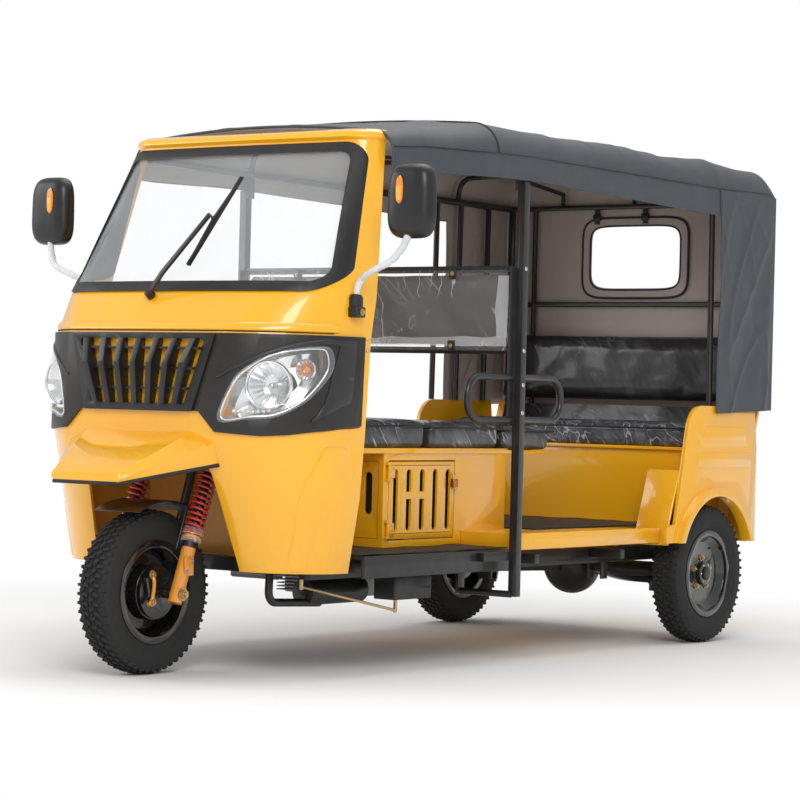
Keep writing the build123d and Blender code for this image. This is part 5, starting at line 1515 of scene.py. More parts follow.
    def cover(self, x: float, z: float, proud: float) -> Vector:
        """Point near the skin even where it is cut away for a lamp.

        Args:
            x: metres to the left.
            z: metres up.
            proud: how far to stand off.

        Returns:
            The point, taken from the cab's own table of levels.
        """
        rows = self.levels
        low, high = next(
            (pair for pair in zip(rows, rows[1:]) if z <= pair[1][0]), (rows[-2], rows[-1])
        )
        t = (z - low[0]) / (high[0] - low[0])
        _, nose, fx, fs, sx, ss = [a + (b - a) * t for a, b in zip(low, high)]
        front, corner = Vector((fx, fs)), Vector((sx, ss))
        chord = corner - front
        middle = (front + corner) / 2 + Vector((chord.y, -chord.x)) * self.bulge
        a, b, c = front, middle, corner
        det = 2 * (a.x * (b.y - c.y) + b.x * (c.y - a.y) + c.x * (a.y - b.y))
        ux = (
            (a.length_squared) * (b.y - c.y) + (b.length_squared) * (c.y - a.y)
            + (c.length_squared) * (a.y - b.y)
        ) / det
        uy = (
            (a.length_squared) * (c.x - b.x) + (b.length_squared) * (a.x - c.x)
            + (c.length_squared) * (b.x - a.x)
        ) / det
        radius = (Vector((ux, uy)) - a).length
        reach = min(abs(x), ux + radius * 0.999)
        if reach < fx:
            station, normal = nose + (fs - nose) * (reach / fx) ** 2, Vector((0, -1))
        else:
            station = uy - math.sqrt(max(radius ** 2 - (reach - ux) ** 2, 0.0))
            normal = Vector((reach - ux, station - uy)).normalized()
        spot = Vector((reach, station)) + normal * proud
        return Vector((math.copysign(spot.x, x), at(spot.y), z))

    def close_centre(self, made: bpy.types.Object) -> None:
        """Fill the hole in the middle of a ring-shaped sheet."""
        with edited(made.data) as work:
            bmesh.ops.remove_doubles(work, verts=work.verts, dist=MERGE)
            loops = [e for e in work.edges if e.is_boundary]
            centre = sum((v.co for v in work.verts), Vector()) / len(work.verts)
            near = sorted(
                loops, key=lambda e: ((e.verts[0].co + e.verts[1].co) / 2 - centre).length
            )
            if len(loops) > LAMP_STEPS:
                bmesh.ops.holes_fill(work, edges=near[: len(loops) // 2], sides=0)
            bmesh.ops.recalc_face_normals(work, faces=work.faces)
        self.shop.shade(made, 50.0)

    def wiper(self) -> None:
        """Wiper: spindle cap, sprung arm and a blade with its bridge."""
        shop = self.shop
        foot, normal = shop.skin(-0.057, 1.262, 0.020)
        elbow, _ = shop.skin(0.186, 1.536, 0.030)
        low, _ = shop.skin(0.083, 1.369, 0.014)
        high, _ = shop.skin(0.308, 1.659, 0.014)
        cap = [(-0.016, 0.0005), (-0.016, 0.016), (0.006, 0.016), (0.010, 0.010), (0.011, 0.0005)]
        self.put(shop.lathe("wiper_spindle_cap", cap, foot, normal, 28), Finishes.SEAL)
        middle = (low + high) / 2
        self.put(
            self.bar(
                "wiper_arm",
                [foot, foot.lerp(elbow, 0.25) + normal * 0.008, elbow, middle + normal * 0.010],
                0.0105, 0.005
            ), Finishes.MIRROR, "wiper"
        )
        self.put(
            self.bar(
                "wiper_bridge",
                [
                    low.lerp(high, 0.15) + normal * 0.004, middle + normal * 0.012,
                    low.lerp(high, 0.85) + normal * 0.004
                ], 0.0055, 0.003
            ), Finishes.MIRROR
        )
        self.put(
            self.bar("wiper_blade", [low, low.lerp(high, 0.5), high], 0.0055, 0.008), Finishes.SEAL
        )

    def bar(
        self, name: str, points: Sequence[Vector], wide: float, tall: float
    ) -> bpy.types.Object:
        """Flat bar through points, tapering a little towards its end.

        Args:
            name: the object's name.
            points: centre line.
            wide: half width at the start.
            tall: half height.

        Returns:
            The bar.
        """
        corners, faces = [], []
        last = len(points) - 1
        for index, point in enumerate(points):
            ahead = (points[min(index + 1, last)] - points[max(index - 1, 0)]).normalized()
            out = Vector((0, -1, 0.35)).normalized()
            side = ahead.cross(out).normalized()
            up = side.cross(ahead).normalized()
            w = wide * (1.0 - 0.35 * index / last)
            corners += [
                point + side * a * w + up * b * tall
                for a, b in ((-1, -1), (1, -1), (1, 1), (-1, 1))
            ]
        for index in range(last):
            for k in range(4):
                a, b = index * 4 + k, index * 4 + (k + 1) % 4
                faces.append((a, b, b + 4, a + 4))
        faces += [(3, 2, 1, 0), tuple(last * 4 + k for k in range(4))]
        made = self.shop.solid(name, corners, faces, 60.0)
        soft = made.modifiers.new("soft_edges", "BEVEL")
        soft.width, soft.segments = min(wide, tall) * 0.5, 2
        return self.shop.settle(made, 40.0)

    def trims(self) -> None:
        """Rubber edge of the mudguard, flange screws and the instrument."""
        shop = self.shop
        edge = [
            (-0.313, at(-0.003), 0.707), (-0.138, at(-0.302), 0.642), (0.138, at(-0.302), 0.642),
            (0.313, at(-0.003), 0.707)
        ]
        self.put(shop.tube("mudguard_edge_rubber", edge, 0.0065, sharp=True), Finishes.BODY_EDGE)
        # Black line laid in the groove below the hood band: painted shade.
        groove = [self.cover(0.588 * k / 24, 1.147, 0.0012) for k in range(-24, 25)]
        self.put(shop.tube("hood_groove_shade", groove, 0.0022), Finishes.BODY_EDGE)
        rows = [
            (Vector((0.592 * k / 24, 1.150)), Vector((0.592 * k / 24, 1.176)))
            for k in range(-24, 25)
        ]
        self.strip("hood_band", rows, 0.006, lambda t: (4 * t * (1 - t)) ** 0.35, Finishes.BODY, 10)
        spots = []
        for side in (1, -1):
            for z in self.flange_screws:
                spots.append((Vector((side * 0.613, at(0.396), z)), Vector((side, -0.15, 0))))
        self.repeat(
            self.patterns.screws, "flange_screws", Finishes.STEEL, spots, Radius=0.006, Height=0.003
        )
        face = Vector((0, at(0.133), 1.206))
        way = Vector((0, math.cos(math.radians(30)), math.sin(math.radians(30)) + 0.3)).normalized()
        dial = [
            (0.0, 0.001), (0.0, 0.052), (0.010, 0.058), (0.016, 0.056), (0.014, 0.050),
            (0.008, 0.048), (0.008, 0.001)
        ]
        self.put(shop.lathe("instrument_bezel", dial, face, way, 48), Finishes.DIAL)


@dataclass
class Steering(Assembly):
    """Fork, springs, handlebar and brake plate, all turning together."""

    body: str = "steering"
    panels: tuple[Dressed, ...] = (
        Dressed("fork_sliders", "fork_lower_legs", Finishes.FORK, 0.002, 35.0),
        Dressed("fork_crown", "fork_crown_and_stem", Finishes.FRAME, 0.0, 35.0),
        Dressed("inner_fender", "inner_mudguard", Finishes.FRAME, 0.001, 35.0),
        Dressed("brake_plate", "front_brake_plate", Finishes.RIM, 0.0015, 35.0),
        Dressed("handlebar", "handlebar_tube", Finishes.FRAME, 0.001, 40.0),
    )
    spring_low: float = 0.209
    spring_high: float = 0.477
    bar_half: float = 0.330

    def build(self) -> None:
        """Build the fork's pieces."""
        self.dress()
        up = along_fork(0, 0, 1) - along_fork(0, 0, 0)
        feet = [(along_fork(side * FORK_HALF, 0, self.spring_low + 0.005), up) for side in (-1, 1)]
        self.repeat(
            self.patterns.coil, "fork_coil_springs", Finishes.SPRING, feet, "fork_springs",
            Turns=13.5, Radius=0.0300, Length=self.spring_high - self.spring_low - 0.010,
            Wire=0.0050
        )
        for side, name in SIDES:
            self.leg_details(side, name)
        arm = [
            Vector((0.074, at(-0.046), WHEEL_Z + 0.062)),
            Vector((0.086, at(-0.046), WHEEL_Z + 0.046)),
            Vector((0.087, at(-0.050), WHEEL_Z + 0.008)),
            Vector((0.087, at(-0.058), WHEEL_Z - 0.028)),
            Vector((0.087, at(-0.076), WHEEL_Z - 0.036))
        ]
        self.put(self.shop.tube("brake_arm", arm, 0.0065), Finishes.FORK)
        self.repeat(
            self.patterns.nuts, "brake_arm_nuts", Finishes.ZINC,
            [(arm[0], Vector((1, 0, 0))), (arm[3], Vector((1, 0, 0)))], Radius=0.011, Height=0.010
        )
        self.controls()

    def leg_details(self, side: int, name: str) -> None:
        """Spring seat, wrapping film, lugs and the axle nut of one leg."""
        shop = self.shop
        up = along_fork(0, 0, 1) - along_fork(0, 0, 0)
        foot = along_fork(side * FORK_HALF, 0, 0)
        for rise, radius, tall, label, finish in (
            (0.196, 0.0365, 0.010, "spring_seat", Finishes.ZINC),
            (0.160, 0.0270, 0.026, "dust_cover", Finishes.SEAL),
            (0.469, 0.0350, 0.008, "upper_spring_seat", Finishes.FRAME),
        ):
            ring = [
                (0, 0.017), (0, radius), (tall * 0.3, radius + 0.001), (tall, radius - 0.002),
                (tall, 0.017)
            ]
            self.put(shop.lathe(f"{label}_{name}", ring, foot + up * rise, up, 40), finish)
        film = [
            (0.0, 0.034), (0.004, 0.0355), (0.018, 0.034), (0.030, 0.036), (0.046, 0.0335),
            (0.050, 0.033), (0.03, 0.0325)
        ]
        self.put(
            shop.lathe(f"leg_wrapping_film_{name}", film, foot + up * 0.178, up, 30, 60.0),
            Finishes.FILM
        )
        self.repeat(
            self.patterns.nuts, f"axle_nut_{name}", Finishes.ZINC,
            [(Vector((side * 0.170, at(0), WHEEL_Z)), Vector((side, 0, 0)))], Radius=0.016,
            Height=0.013
        )
        self.put(
            shop.slab(
                f"leg_bracket_{name}", foot + Vector((side * 0.018 - 0.005, 0.010, 0.060)),
                foot + Vector((side * 0.018 + 0.009, 0.052, 0.125)), 0.003
            ), Finishes.FORK
        )
        bolts = [
            (
                foot + Vector((side * 0.026, 0.018 + 0.024 * k, 0.075 + 0.035 * k)),
                Vector((side, 0, 0))
            ) for k in range(2)
        ]
        self.repeat(
            self.patterns.nuts, f"bracket_bolts_{name}", Finishes.STEEL, bolts, Radius=0.006,
            Height=0.005
        )

    def controls(self) -> None:
        """Grips with ribs, hand levers and their clamps."""
        shop = self.shop
        for side, name in SIDES:
            outer = along_fork(side * self.bar_half, 0.105, 0.966)
            inner = along_fork(side * 0.110, 0.045, 0.952)
            way = (outer - inner).normalized()
            start = outer - way * 0.112
            self.repeat(
                self.patterns.rings, f"grip_ribs_{name}", Finishes.SEAL, [(start, way)], Count=15,
                Pitch=0.0072, Radius=0.0168, Bead=0.0017
            )
            clamp = [(-0.014, 0.011), (-0.014, 0.020), (0.014, 0.020), (0.014, 0.011)]
            self.put(
                shop.lathe(f"lever_clamp_{name}", clamp, start - way * 0.024, way, 32),
                Finishes.MIRROR
            )
            ahead = Vector((0, -1, -0.15))
            lever = [
                start - way * 0.024 + ahead * 0.016, start - way * 0.004 + ahead * 0.038,
                start + way * 0.060 + ahead * 0.044, outer + way * 0.004 + ahead * 0.036
            ]
            self.put(shop.tube(f"hand_lever_{name}", lever, 0.0045), Finishes.STEEL)


@dataclass
class Wheel(Assembly):
    """One wheel: tyre with its tread, rim, nuts and hub cap."""

    place: tuple[float, float, float] = (0.0, 0.0, WHEEL_Z)
    tyre: str = "front_tyre"
    rim: str = "front_rim"
    label: str = "front"
    outer: int = -1
    driven: bool = False

    def build(self) -> None:
        """Build the wheel."""
        centre = Vector((self.place[0], at(self.place[1]), self.place[2]))
        shop = self.shop
        half = [
            (0.000, 0.2665), (0.006, 0.2665), (0.0075, 0.2635), (0.0095, 0.2635), (0.011, 0.2662),
            (0.026, 0.2655), (0.028, 0.2625), (0.030, 0.2625), (0.032, 0.2650), (0.044, 0.2628),
            (0.051, 0.2585), (0.0555, 0.2515), (0.0580, 0.243), (0.0605, 0.236), (0.0600, 0.234),
            (0.0618, 0.226), (0.0622, 0.214), (0.0612, 0.204), (0.0600, 0.2035), (0.0585, 0.196),
            (0.0555, 0.189), (0.0520, 0.183), (0.0500, 0.1795), (0.0470, 0.176), (0.0470, 0.160)
        ]
        profile = half + [(-x, r) for x, r in reversed(half) if x > 0]
        self.put(
            shop.lathe(f"{self.label}_tyre_body", profile, centre, (1, 0, 0), 120, 28.0),
            Finishes.TYRE, self.tyre
        )
        rows = (
            # offset, radius, length, width, lean, phase; the other side mirrors lean and phase
            (0.0125, 0.2664, 0.0190, 0.0170, 0.45, 0.0),
            (0.0315, 0.2652, 0.0210, 0.0130, -0.40, 0.5),
            (0.0480, 0.2590, 0.0180, 0.0110, 0.15, 0.0),
        )
        for index, (x, radius, long, wide, slant, phase) in enumerate(rows):
            for half_index, sign in enumerate((1, -1)):
                spot = [(centre + Vector((sign * x, 0, 0)), Vector((0, 0, 1)))]
                blocks = self.patterns.blocks.run(
                    shop, f"{self.label}_tread_row_{2 * index + half_index}", Finishes.TYRE, spot,
                    Count=TREAD_COUNT, Radius=radius, Size=(TREAD_DEPTH, long, wide),
                    Slant=sign * slant
                )
                step = math.tau / TREAD_COUNT * abs(phase - 0.5 * half_index)
                there, back = Matrix.Translation(centre), Matrix.Translation(-centre)
                blocks.data.transform(there @ Matrix.Rotation(step, 4, "X") @ back)
                self.put(blocks, Finishes.TYRE)
        self.put(
            shop.copy(self.rim, f"{self.label}_rim_disc", 0.0018, 30.0), Finishes.RIM, self.rim
        )
        self.fasteners(centre)

    def fasteners(self, centre: Vector) -> None:
        """Wheel nuts, hub cap and valve."""
        shop, side = self.shop, self.outer
        face = 0.017 if self.driven else 0.009
        way = Vector((side, 0, 0))
        circle = 0.062 if self.driven else 0.060
        spots = []
        for k in range(5):
            turn = math.tau * (k + 0.25) / 5
            spots.append(
                (centre + way * face + Vector((0, math.cos(turn), math.sin(turn))) * circle, way)
            )
        self.repeat(
            self.patterns.nuts, f"{self.label}_wheel_nuts", Finishes.ZINC, spots, Radius=0.0095,
            Height=0.010
        )
        ring = []
        for k in range(6):
            turn = math.tau * k / 6
            ring.append(
                (
                    centre + way * (0.040 if self.driven else 0.042) + Vector(
                        (0, math.cos(turn), math.sin(turn))
                    ) * 0.036, way
                )
            )
        self.repeat(
            self.patterns.screws, f"{self.label}_hub_bolts", Finishes.STEEL, ring, Radius=0.0045,
            Height=0.004
        )
        if self.driven:
            cap = [(0.040, 0.0005), (0.040, 0.027), (0.046, 0.026), (0.050, 0.020), (0.051, 0.0005)]
            self.put(shop.lathe(f"{self.label}_hub_cap", cap, centre, way, 36), Finishes.MIRROR)
        stem = [
            centre + way * 0.030 + Vector((0, 0.118, 0.102)),
            centre + way * 0.040 + Vector((0, 0.108, 0.093)),
            centre + way * 0.052 + Vector((0, 0.104, 0.089))
        ]
        self.put(shop.tube(f"{self.label}_valve_stem", stem, 0.0038), Finishes.SEAL)


@dataclass
class Mirror(Assembly):
    """One door mirror on its wrapped arm."""

    side: int = 1
    label: str = "left"
    centre: tuple[float, float, float] = (0.802, 0.351, 1.588)
    width: float = 0.176
    height: float = 0.246
    shell: tuple[tuple[float, float], ...] = (
        # share of the outline, depth from the middle
        (0.0, -0.031), (0.55, -0.030), (0.82, -0.024), (0.95, -0.010), (1.0, 0.006),
        (1.0, 0.026), (0.985, 0.031), (0.93, 0.031), (0.92, 0.024), (0.0, 0.024)
    )
    stalk_x: float = 0.607
    stalk_station: float = 0.328
    foot_x: tuple[float, float] = (0.588, 0.634)
    foot_station: tuple[float, float] = (0.300, 0.352)
    foot_z: tuple[float, float] = (1.204, 1.240)

    def build(self) -> None:
        """Build shell, glass, reflector, arm and bracket."""
        shop, side = self.shop, self.side
        cx, cs, cz = side * self.centre[0], self.centre[1], self.centre[2]
        rows = len(self.shell) - 1

        def rounded(share: float, turn: float) -> Point:
            scale, s = self.shell[int(round(share * rows))]
            x, z = round_corner(math.tau * turn, 0.5)
            x, z = x * self.width / 2, z * self.height / 2
            lean = 1.0 - 0.05 * (z / self.height)
            return (cx + x * scale * lean, at(cs + s), cz + z * scale)

        shell = shop.grid(f"mirror_shell_{self.label}", rows, 64, rounded, ring=True)
        shop.close(shell.data, 1e-5)
        self.put(shop.smooth(shell, 60.0), Finishes.MIRROR, f"mirror_{self.label}")
        pane = [(x * self.width * 0.45, z * self.height * 0.455) for x, z in round_ring(40, 0.3)]
        self.put(
            shop.solid(
                f"mirror_glass_{self.label}",
                [
                    (cx + x, at(cs + 0.0262), cz + z) for x, z in pane
                ] + [(cx + x, at(cs + 0.0245), cz + z) for x, z in pane],
                [tuple(range(40)), tuple(range(79, 39, -1))] + [
                    (i, 40 + i, 40 + (i + 1) % 40, (i + 1) % 40) for i in range(40)
                ]
            ), Finishes.CHROME
        )
        lens = [(x * 0.0145, z * 0.046) for x, z in round_ring(32, 1.0, 0.7)]
        front, lens_x, lens_z = at(cs) - 0.0305, cx - side * 0.022, cz + 0.035
        self.put(
            shop.solid(
                f"mirror_reflector_{self.label}",
                [(lens_x + x, front, lens_z + z) for x, z in lens] + [
                    (lens_x + x * 0.86, front - 0.004, lens_z + z * 0.96) for x, z in lens
                ],
                [tuple(range(31, -1, -1)), tuple(range(32, 64))] + [
                    (i, (i + 1) % 32, 32 + (i + 1) % 32, 32 + i) for i in range(32)
                ], 30.0
            ), Finishes.AMBER
        )
        self.put(
            shop.slab(
                f"mirror_reflector_core_{self.label}",
                (lens_x - 0.009, front - 0.0055, lens_z - 0.036),
                (lens_x + 0.009, front - 0.002, lens_z + 0.012), 0.0015
            ), Finishes.AMBER_PALE
        )
        foot = Vector((side * self.stalk_x, at(0.329), 1.268))
        line = [
            foot, foot + Vector((0, 0.004, 0.030)), (side * 0.618, at(0.341), 1.335),
            (side * 0.680, at(0.325), 1.360), (side * 0.752, at(0.322), 1.385),
            (side * 0.790, at(0.344), 1.440), (side * 0.800, at(0.351), 1.478)
        ]
        arm = shop.tube(f"mirror_arm_{self.label}", line, 0.0115, turns=4)
        for corner in arm.data.vertices:
            swell = noise.noise(corner.co * 42.0) * 0.0028
            corner.co += corner.normal * swell
        self.put(arm, Finishes.BUBBLE)
        collar = [
            (-0.036, 0.0005), (-0.036, 0.0205), (-0.030, 0.025), (0.024, 0.025), (0.034, 0.019),
            (0.037, 0.0005)
        ]
        self.put(
            shop.lathe(
                f"mirror_bracket_{self.label}", collar,
                (side * self.stalk_x, at(self.stalk_station), 1.246), (0, 0, 1), 36
            ), Finishes.MIRROR
        )
        inner, outer = sorted(side * x for x in self.foot_x)
        self.put(
            shop.slab(
                f"mirror_foot_{self.label}", (inner, at(self.foot_station[0]), self.foot_z[0]),
                (outer, at(self.foot_station[1]), self.foot_z[1]), 0.006
            ), Finishes.MIRROR
        )
        spot = [
            ((side * 0.635, at(self.stalk_station), 1.222), (side, 0, 0)),
            ((side * self.stalk_x, at(self.stalk_station), 1.282), (0, 0, 1))
        ]
        self.repeat(
            self.patterns.nuts, f"mirror_nuts_{self.label}", Finishes.ZINC, spot, Radius=0.0085,
            Height=0.007
        )


@dataclass
class Pad:
    """A stuffed seat pad, filled out by a cloth simulation."""

    node: str
    name: str
    body: str
    finish: Finishes
    fill: float = 0.75
    voxel: float = 0.012
    reach: float = 0.014
    inset: float = 0.010
    flat_low: bool = True
    frames: int = 20

    def build(self, shop: Workshop) -> bpy.types.Object:
        """Make the pad.

        Args:
            shop: the workshop.

        Returns:
            The finished pad.
        """
        low, high = (Vector(p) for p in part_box(self.node))
        made = shop.copy(self.node, self.name)
        middle = (low + high) / 2
        size = high - low
        for corner in made.data.vertices:
            for axis in range(3):
                gap = self.inset if axis < 2 or not self.flat_low else 0.0
                half = max(size[axis] / 2, 1e-6)
                share = (corner.co[axis] - middle[axis]) / half
                corner.co[axis] -= share * gap
            if self.flat_low:
                share = (corner.co.z - low.z) / size.z
                corner.co.z -= share * self.inset
        remesh = made.modifiers.new("even_mesh", "REMESH")
        remesh.mode = "VOXEL"
        remesh.voxel_size = self.voxel
        made = shop.settle(made)
        rest = [v.co.copy() for v in made.data.vertices]
        self.inflate(made)
        new = [v.co.copy() for v in bpy.data.objects[self.name].data.vertices]
        for corner, old, moved in zip(made.data.vertices, rest, new):
            shift = moved - old
            if shift.length > self.reach:
                shift *= self.reach / shift.length
            corner.co = old + shift
        for corner in made.data.vertices:
            for axis in range(3):
                corner.co[axis] = min(
                    max(corner.co[axis], low[axis] - 0.002),
                    high[axis] + (0.010 if axis == 2 else 0.002)
                )
            if self.flat_low:
                corner.co.z = max(corner.co.z, low.z + 0.0004)
            wrinkle = ripple(corner.co.x * 9, corner.co.y * 17, corner.co.z * 12) * 0.0028
            if not self.flat_low or corner.co.z > low.z + 0.01:
                corner.co += corner.normal * wrinkle
        made = shop.smooth(made, 80.0)
        shop.fit(made, self.body, self.finish, self.node)
        return made

    def inflate(self, made: bpy.types.Object) -> None:
        """Fill the pad with a short cloth simulation and keep its last frame."""
        scene = bpy.context.scene
        cloth = made.modifiers.new("filling", "CLOTH")
        cloth.settings.use_pressure = True
        cloth.settings.uniform_pressure_force = 4.0
        cloth.settings.quality = 4
        cloth.settings.tension_stiffness = cloth.settings.compression_stiffness = 25.0
        cloth.settings.shear_stiffness = 10.0
        cloth.settings.bending_stiffness = 1.5
        cloth.settings.effector_weights.gravity = 0.0
        cloth.collision_settings.use_self_collision = False
        cloth.point_cache.frame_start, cloth.point_cache.frame_end = 1, self.frames
        for frame in range(1, self.frames + 1):
            scene.frame_set(frame)
        graph = bpy.context.evaluated_depsgraph_get()
        mesh = bpy.data.meshes.new_from_object(made.evaluated_get(graph), depsgraph=graph)
        made.modifiers.clear()
        made.data = mesh
        scene.frame_set(1)

    def welt(self, shop: Workshop, rise: float = 0.78, corner: float = 0.03) -> None:
        """Piped seam round the pad's upper edge."""
        low, high = (Vector(p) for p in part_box(self.node))
        z = low.z + (high.z - low.z) * rise
        ring = []
        x0, x1, y0, y1 = low.x + 0.001, high.x - 0.001, low.y + 0.001, high.y - 0.001
        for cx, cy, start in (
            (x1 - corner, y1 - corner, 0), (x0 + corner, y1 - corner, 90),
            (x0 + corner, y0 + corner, 180), (x1 - corner, y0 + corner, 270)
        ):
            for k in range(4):
                a = math.radians(start + 30 * k)
                ring.append(
                    (
                        cx + corner * math.cos(a), cy + corner * math.sin(a),
                        z + 0.002 * math.sin(5 * a)
                    )
                )
        shop.fit(
            shop.tube(f"{self.name}_welt", ring, 0.0042, closed=True), self.body, Finishes.WELT
        )


@dataclass
class Seats(Assembly):
    """Seat box with its louvred door, cushions and the driver's backrest."""

    panels: tuple[Dressed, ...] = (
        Dressed("seat_box", "seat_box_panels", Finishes.BODY, 0.002, 30.0),
        Dressed("backrest_bars", "backrest_rails", Finishes.FRAME, 0.002, 30.0),
    )
    pads: tuple[Pad, ...] = (
        Pad("driver_cushion", "driver_seat_pad", "chassis", Finishes.SEAT),
        Pad("middle_cushion", "middle_seat_pad", "chassis", Finishes.SEAT),
        Pad("jump_cushion", "jump_seat_pad", "chassis", Finishes.SEAT),
    )

    def build(self) -> None:
        """Build the driver's seating."""
        self.dress()
        for pad in self.pads:
            pad.build(self.shop)
            pad.welt(self.shop)
        self.backrest()
        self.put(
            self.shop.copy("box_door", "louvred_door_panel", 0.0022, 30.0), Finishes.BODY,
            "box_door", body=DOOR
        )
        self.padlock()

    def backrest(self) -> None:
        """Padded board between the poles, in loose clear film, held by four clips."""
        shop = self.shop
        low, high = (Vector(p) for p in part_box("driver_backrest"))
        pad = Pad(
            "driver_backrest", "driver_backrest_pad", self.body, Finishes.BOARD, fill=0.35,
            voxel=0.010, reach=0.006, inset=0.004, flat_low=False
        )
        pad.build(shop)

        def loose(share: float, turn: float) -> Point:
            x = low.x + 0.01 + (high.x - low.x - 0.02) * turn
            z = low.z - 0.012 + (high.z - low.z + 0.020) * share
            wave = ripple(x * 5.5, z * 9.0, 1.7) * 0.007 + ripple(x * 16, z * 22, 4.1) * 0.003
            return (x, low.y - 0.009 + wave, z)

        self.put(shop.grid("backrest_film_front", 24, 90, loose), Finishes.FILM)
        folded = (
            ("bottom", (low.x + 0.012, high.x - 0.012), (low.z + 0.004, low.z + 0.036)),
            ("left", (high.x - 0.060, high.x - 0.010), (low.z + 0.036, high.z - 0.016)),
        )
        for label, (left, right), (down, up) in folded:
            def fold(
                share: float, turn: float, left: float = left, right: float = right,
                down: float = down, up: float = up
            ) -> Point:
                x, z = left + (right - left) * turn, down + (up - down) * share
                bump = ripple(x * 14.0, z * 14.0, 6.0) * 0.004
                wander = ripple(x * 9.0, z * 9.0, 2.0) * 0.010
                return (
                    x + wander * (1 - turn), low.y - 0.0065 + bump + 0.016 * (z - low.z),
                    z + wander * share
                )
            self.put(shop.grid(f"backrest_film_{label}", 12, 60, fold), Finishes.FOLDED)
        spots = []
        for x in (-0.36, 0.36):
            for z in (high.z - 0.004, low.z + 0.004):
                self.put(
                    shop.slab(
                        f"backrest_clip_{'l' if x > 0 else 'r'}_{'t' if z > 1.2 else 'b'}",
                        (x - 0.016, low.y - 0.013, z - 0.020),
                        (x + 0.016, low.y + 0.004, z + 0.020), 0.003
                    ), Finishes.FRAME
                )
                spots.append(((x, low.y - 0.013, z), (0, -1, 0)))
        self.repeat(
            self.patterns.nuts, "backrest_clip_nuts", Finishes.ZINC, spots, Radius=0.006,
            Height=0.005
        )

    def padlock(self) -> None:
        """Lock body, key and shackle at the door's free edge."""
        shop = self.shop
        x, y, z = 0.363, at(1.274), 0.640
        self.put(
            shop.slab(
                "padlock_body", (x - 0.006, y - 0.014, z - 0.016),
                (x + 0.010, y + 0.014, z + 0.014), 0.003
            ), Finishes.COPPER, body=DOOR
        )
        self.put(
            shop.slab(
                "padlock_key", (x, y + 0.004, z - 0.040), (x + 0.002, y + 0.012, z - 0.014), 0.0008
            ), Finishes.STEEL, body=DOOR
        )
        bend = ((-0.009, 0.010), (-0.009, 0.028), (0.0, 0.036), (0.009, 0.028), (0.009, 0.010))
        loop = [(x + 0.002, y + across, z + rise) for across, rise in bend]
        self.put(shop.tube("padlock_shackle", loop, 0.0026), Finishes.STEEL, body=DOOR)
        # Dark slabs inside the seat box, behind the door and behind its front panel: painted shade.
        for label, low, high in (
            ("shade", (0.328, at(0.884), 0.444), (0.332, at(1.286), 0.716)),
            ("front_shade", (-0.335, at(0.872), 0.505), (0.326, at(0.876), 0.705)),
        ):
            self.put(shop.slab(f"seat_box_{label}", low, high, 0.001), Finishes.UNDER)
        half, low, high = 0.334, 0.446, 0.716
        front = [
            (x, at(0.8497), z)
            for x, z in ((half, low), (half, high), (-half, high), (-half, low))
        ]
        self.put(
            shop.tube("seat_box_seam_front", front, 0.0011, closed=True, sharp=True), Finishes.SEAM
        )
        for label, level in (("door", 0.462), ("head", 0.704)):
            line = [(0.3552, at(0.896), level), (0.3552, at(1.262), level)]
            self.put(
                shop.tube(f"seat_box_seam_{label}", line, 0.0011, sharp=True), Finishes.SEAM,
                body=DOOR
            )
        spots = [
            ((0.3655, at(0.899), 0.478 + dz), (1, 0, 0)) for dz in (-0.014, 0.014, 0.190, 0.218)
        ]
        self.repeat(
            self.patterns.screws, "door_hinge_screws", Finishes.STEEL, spots, body=DOOR,
            Radius=0.0035, Height=0.002
        )


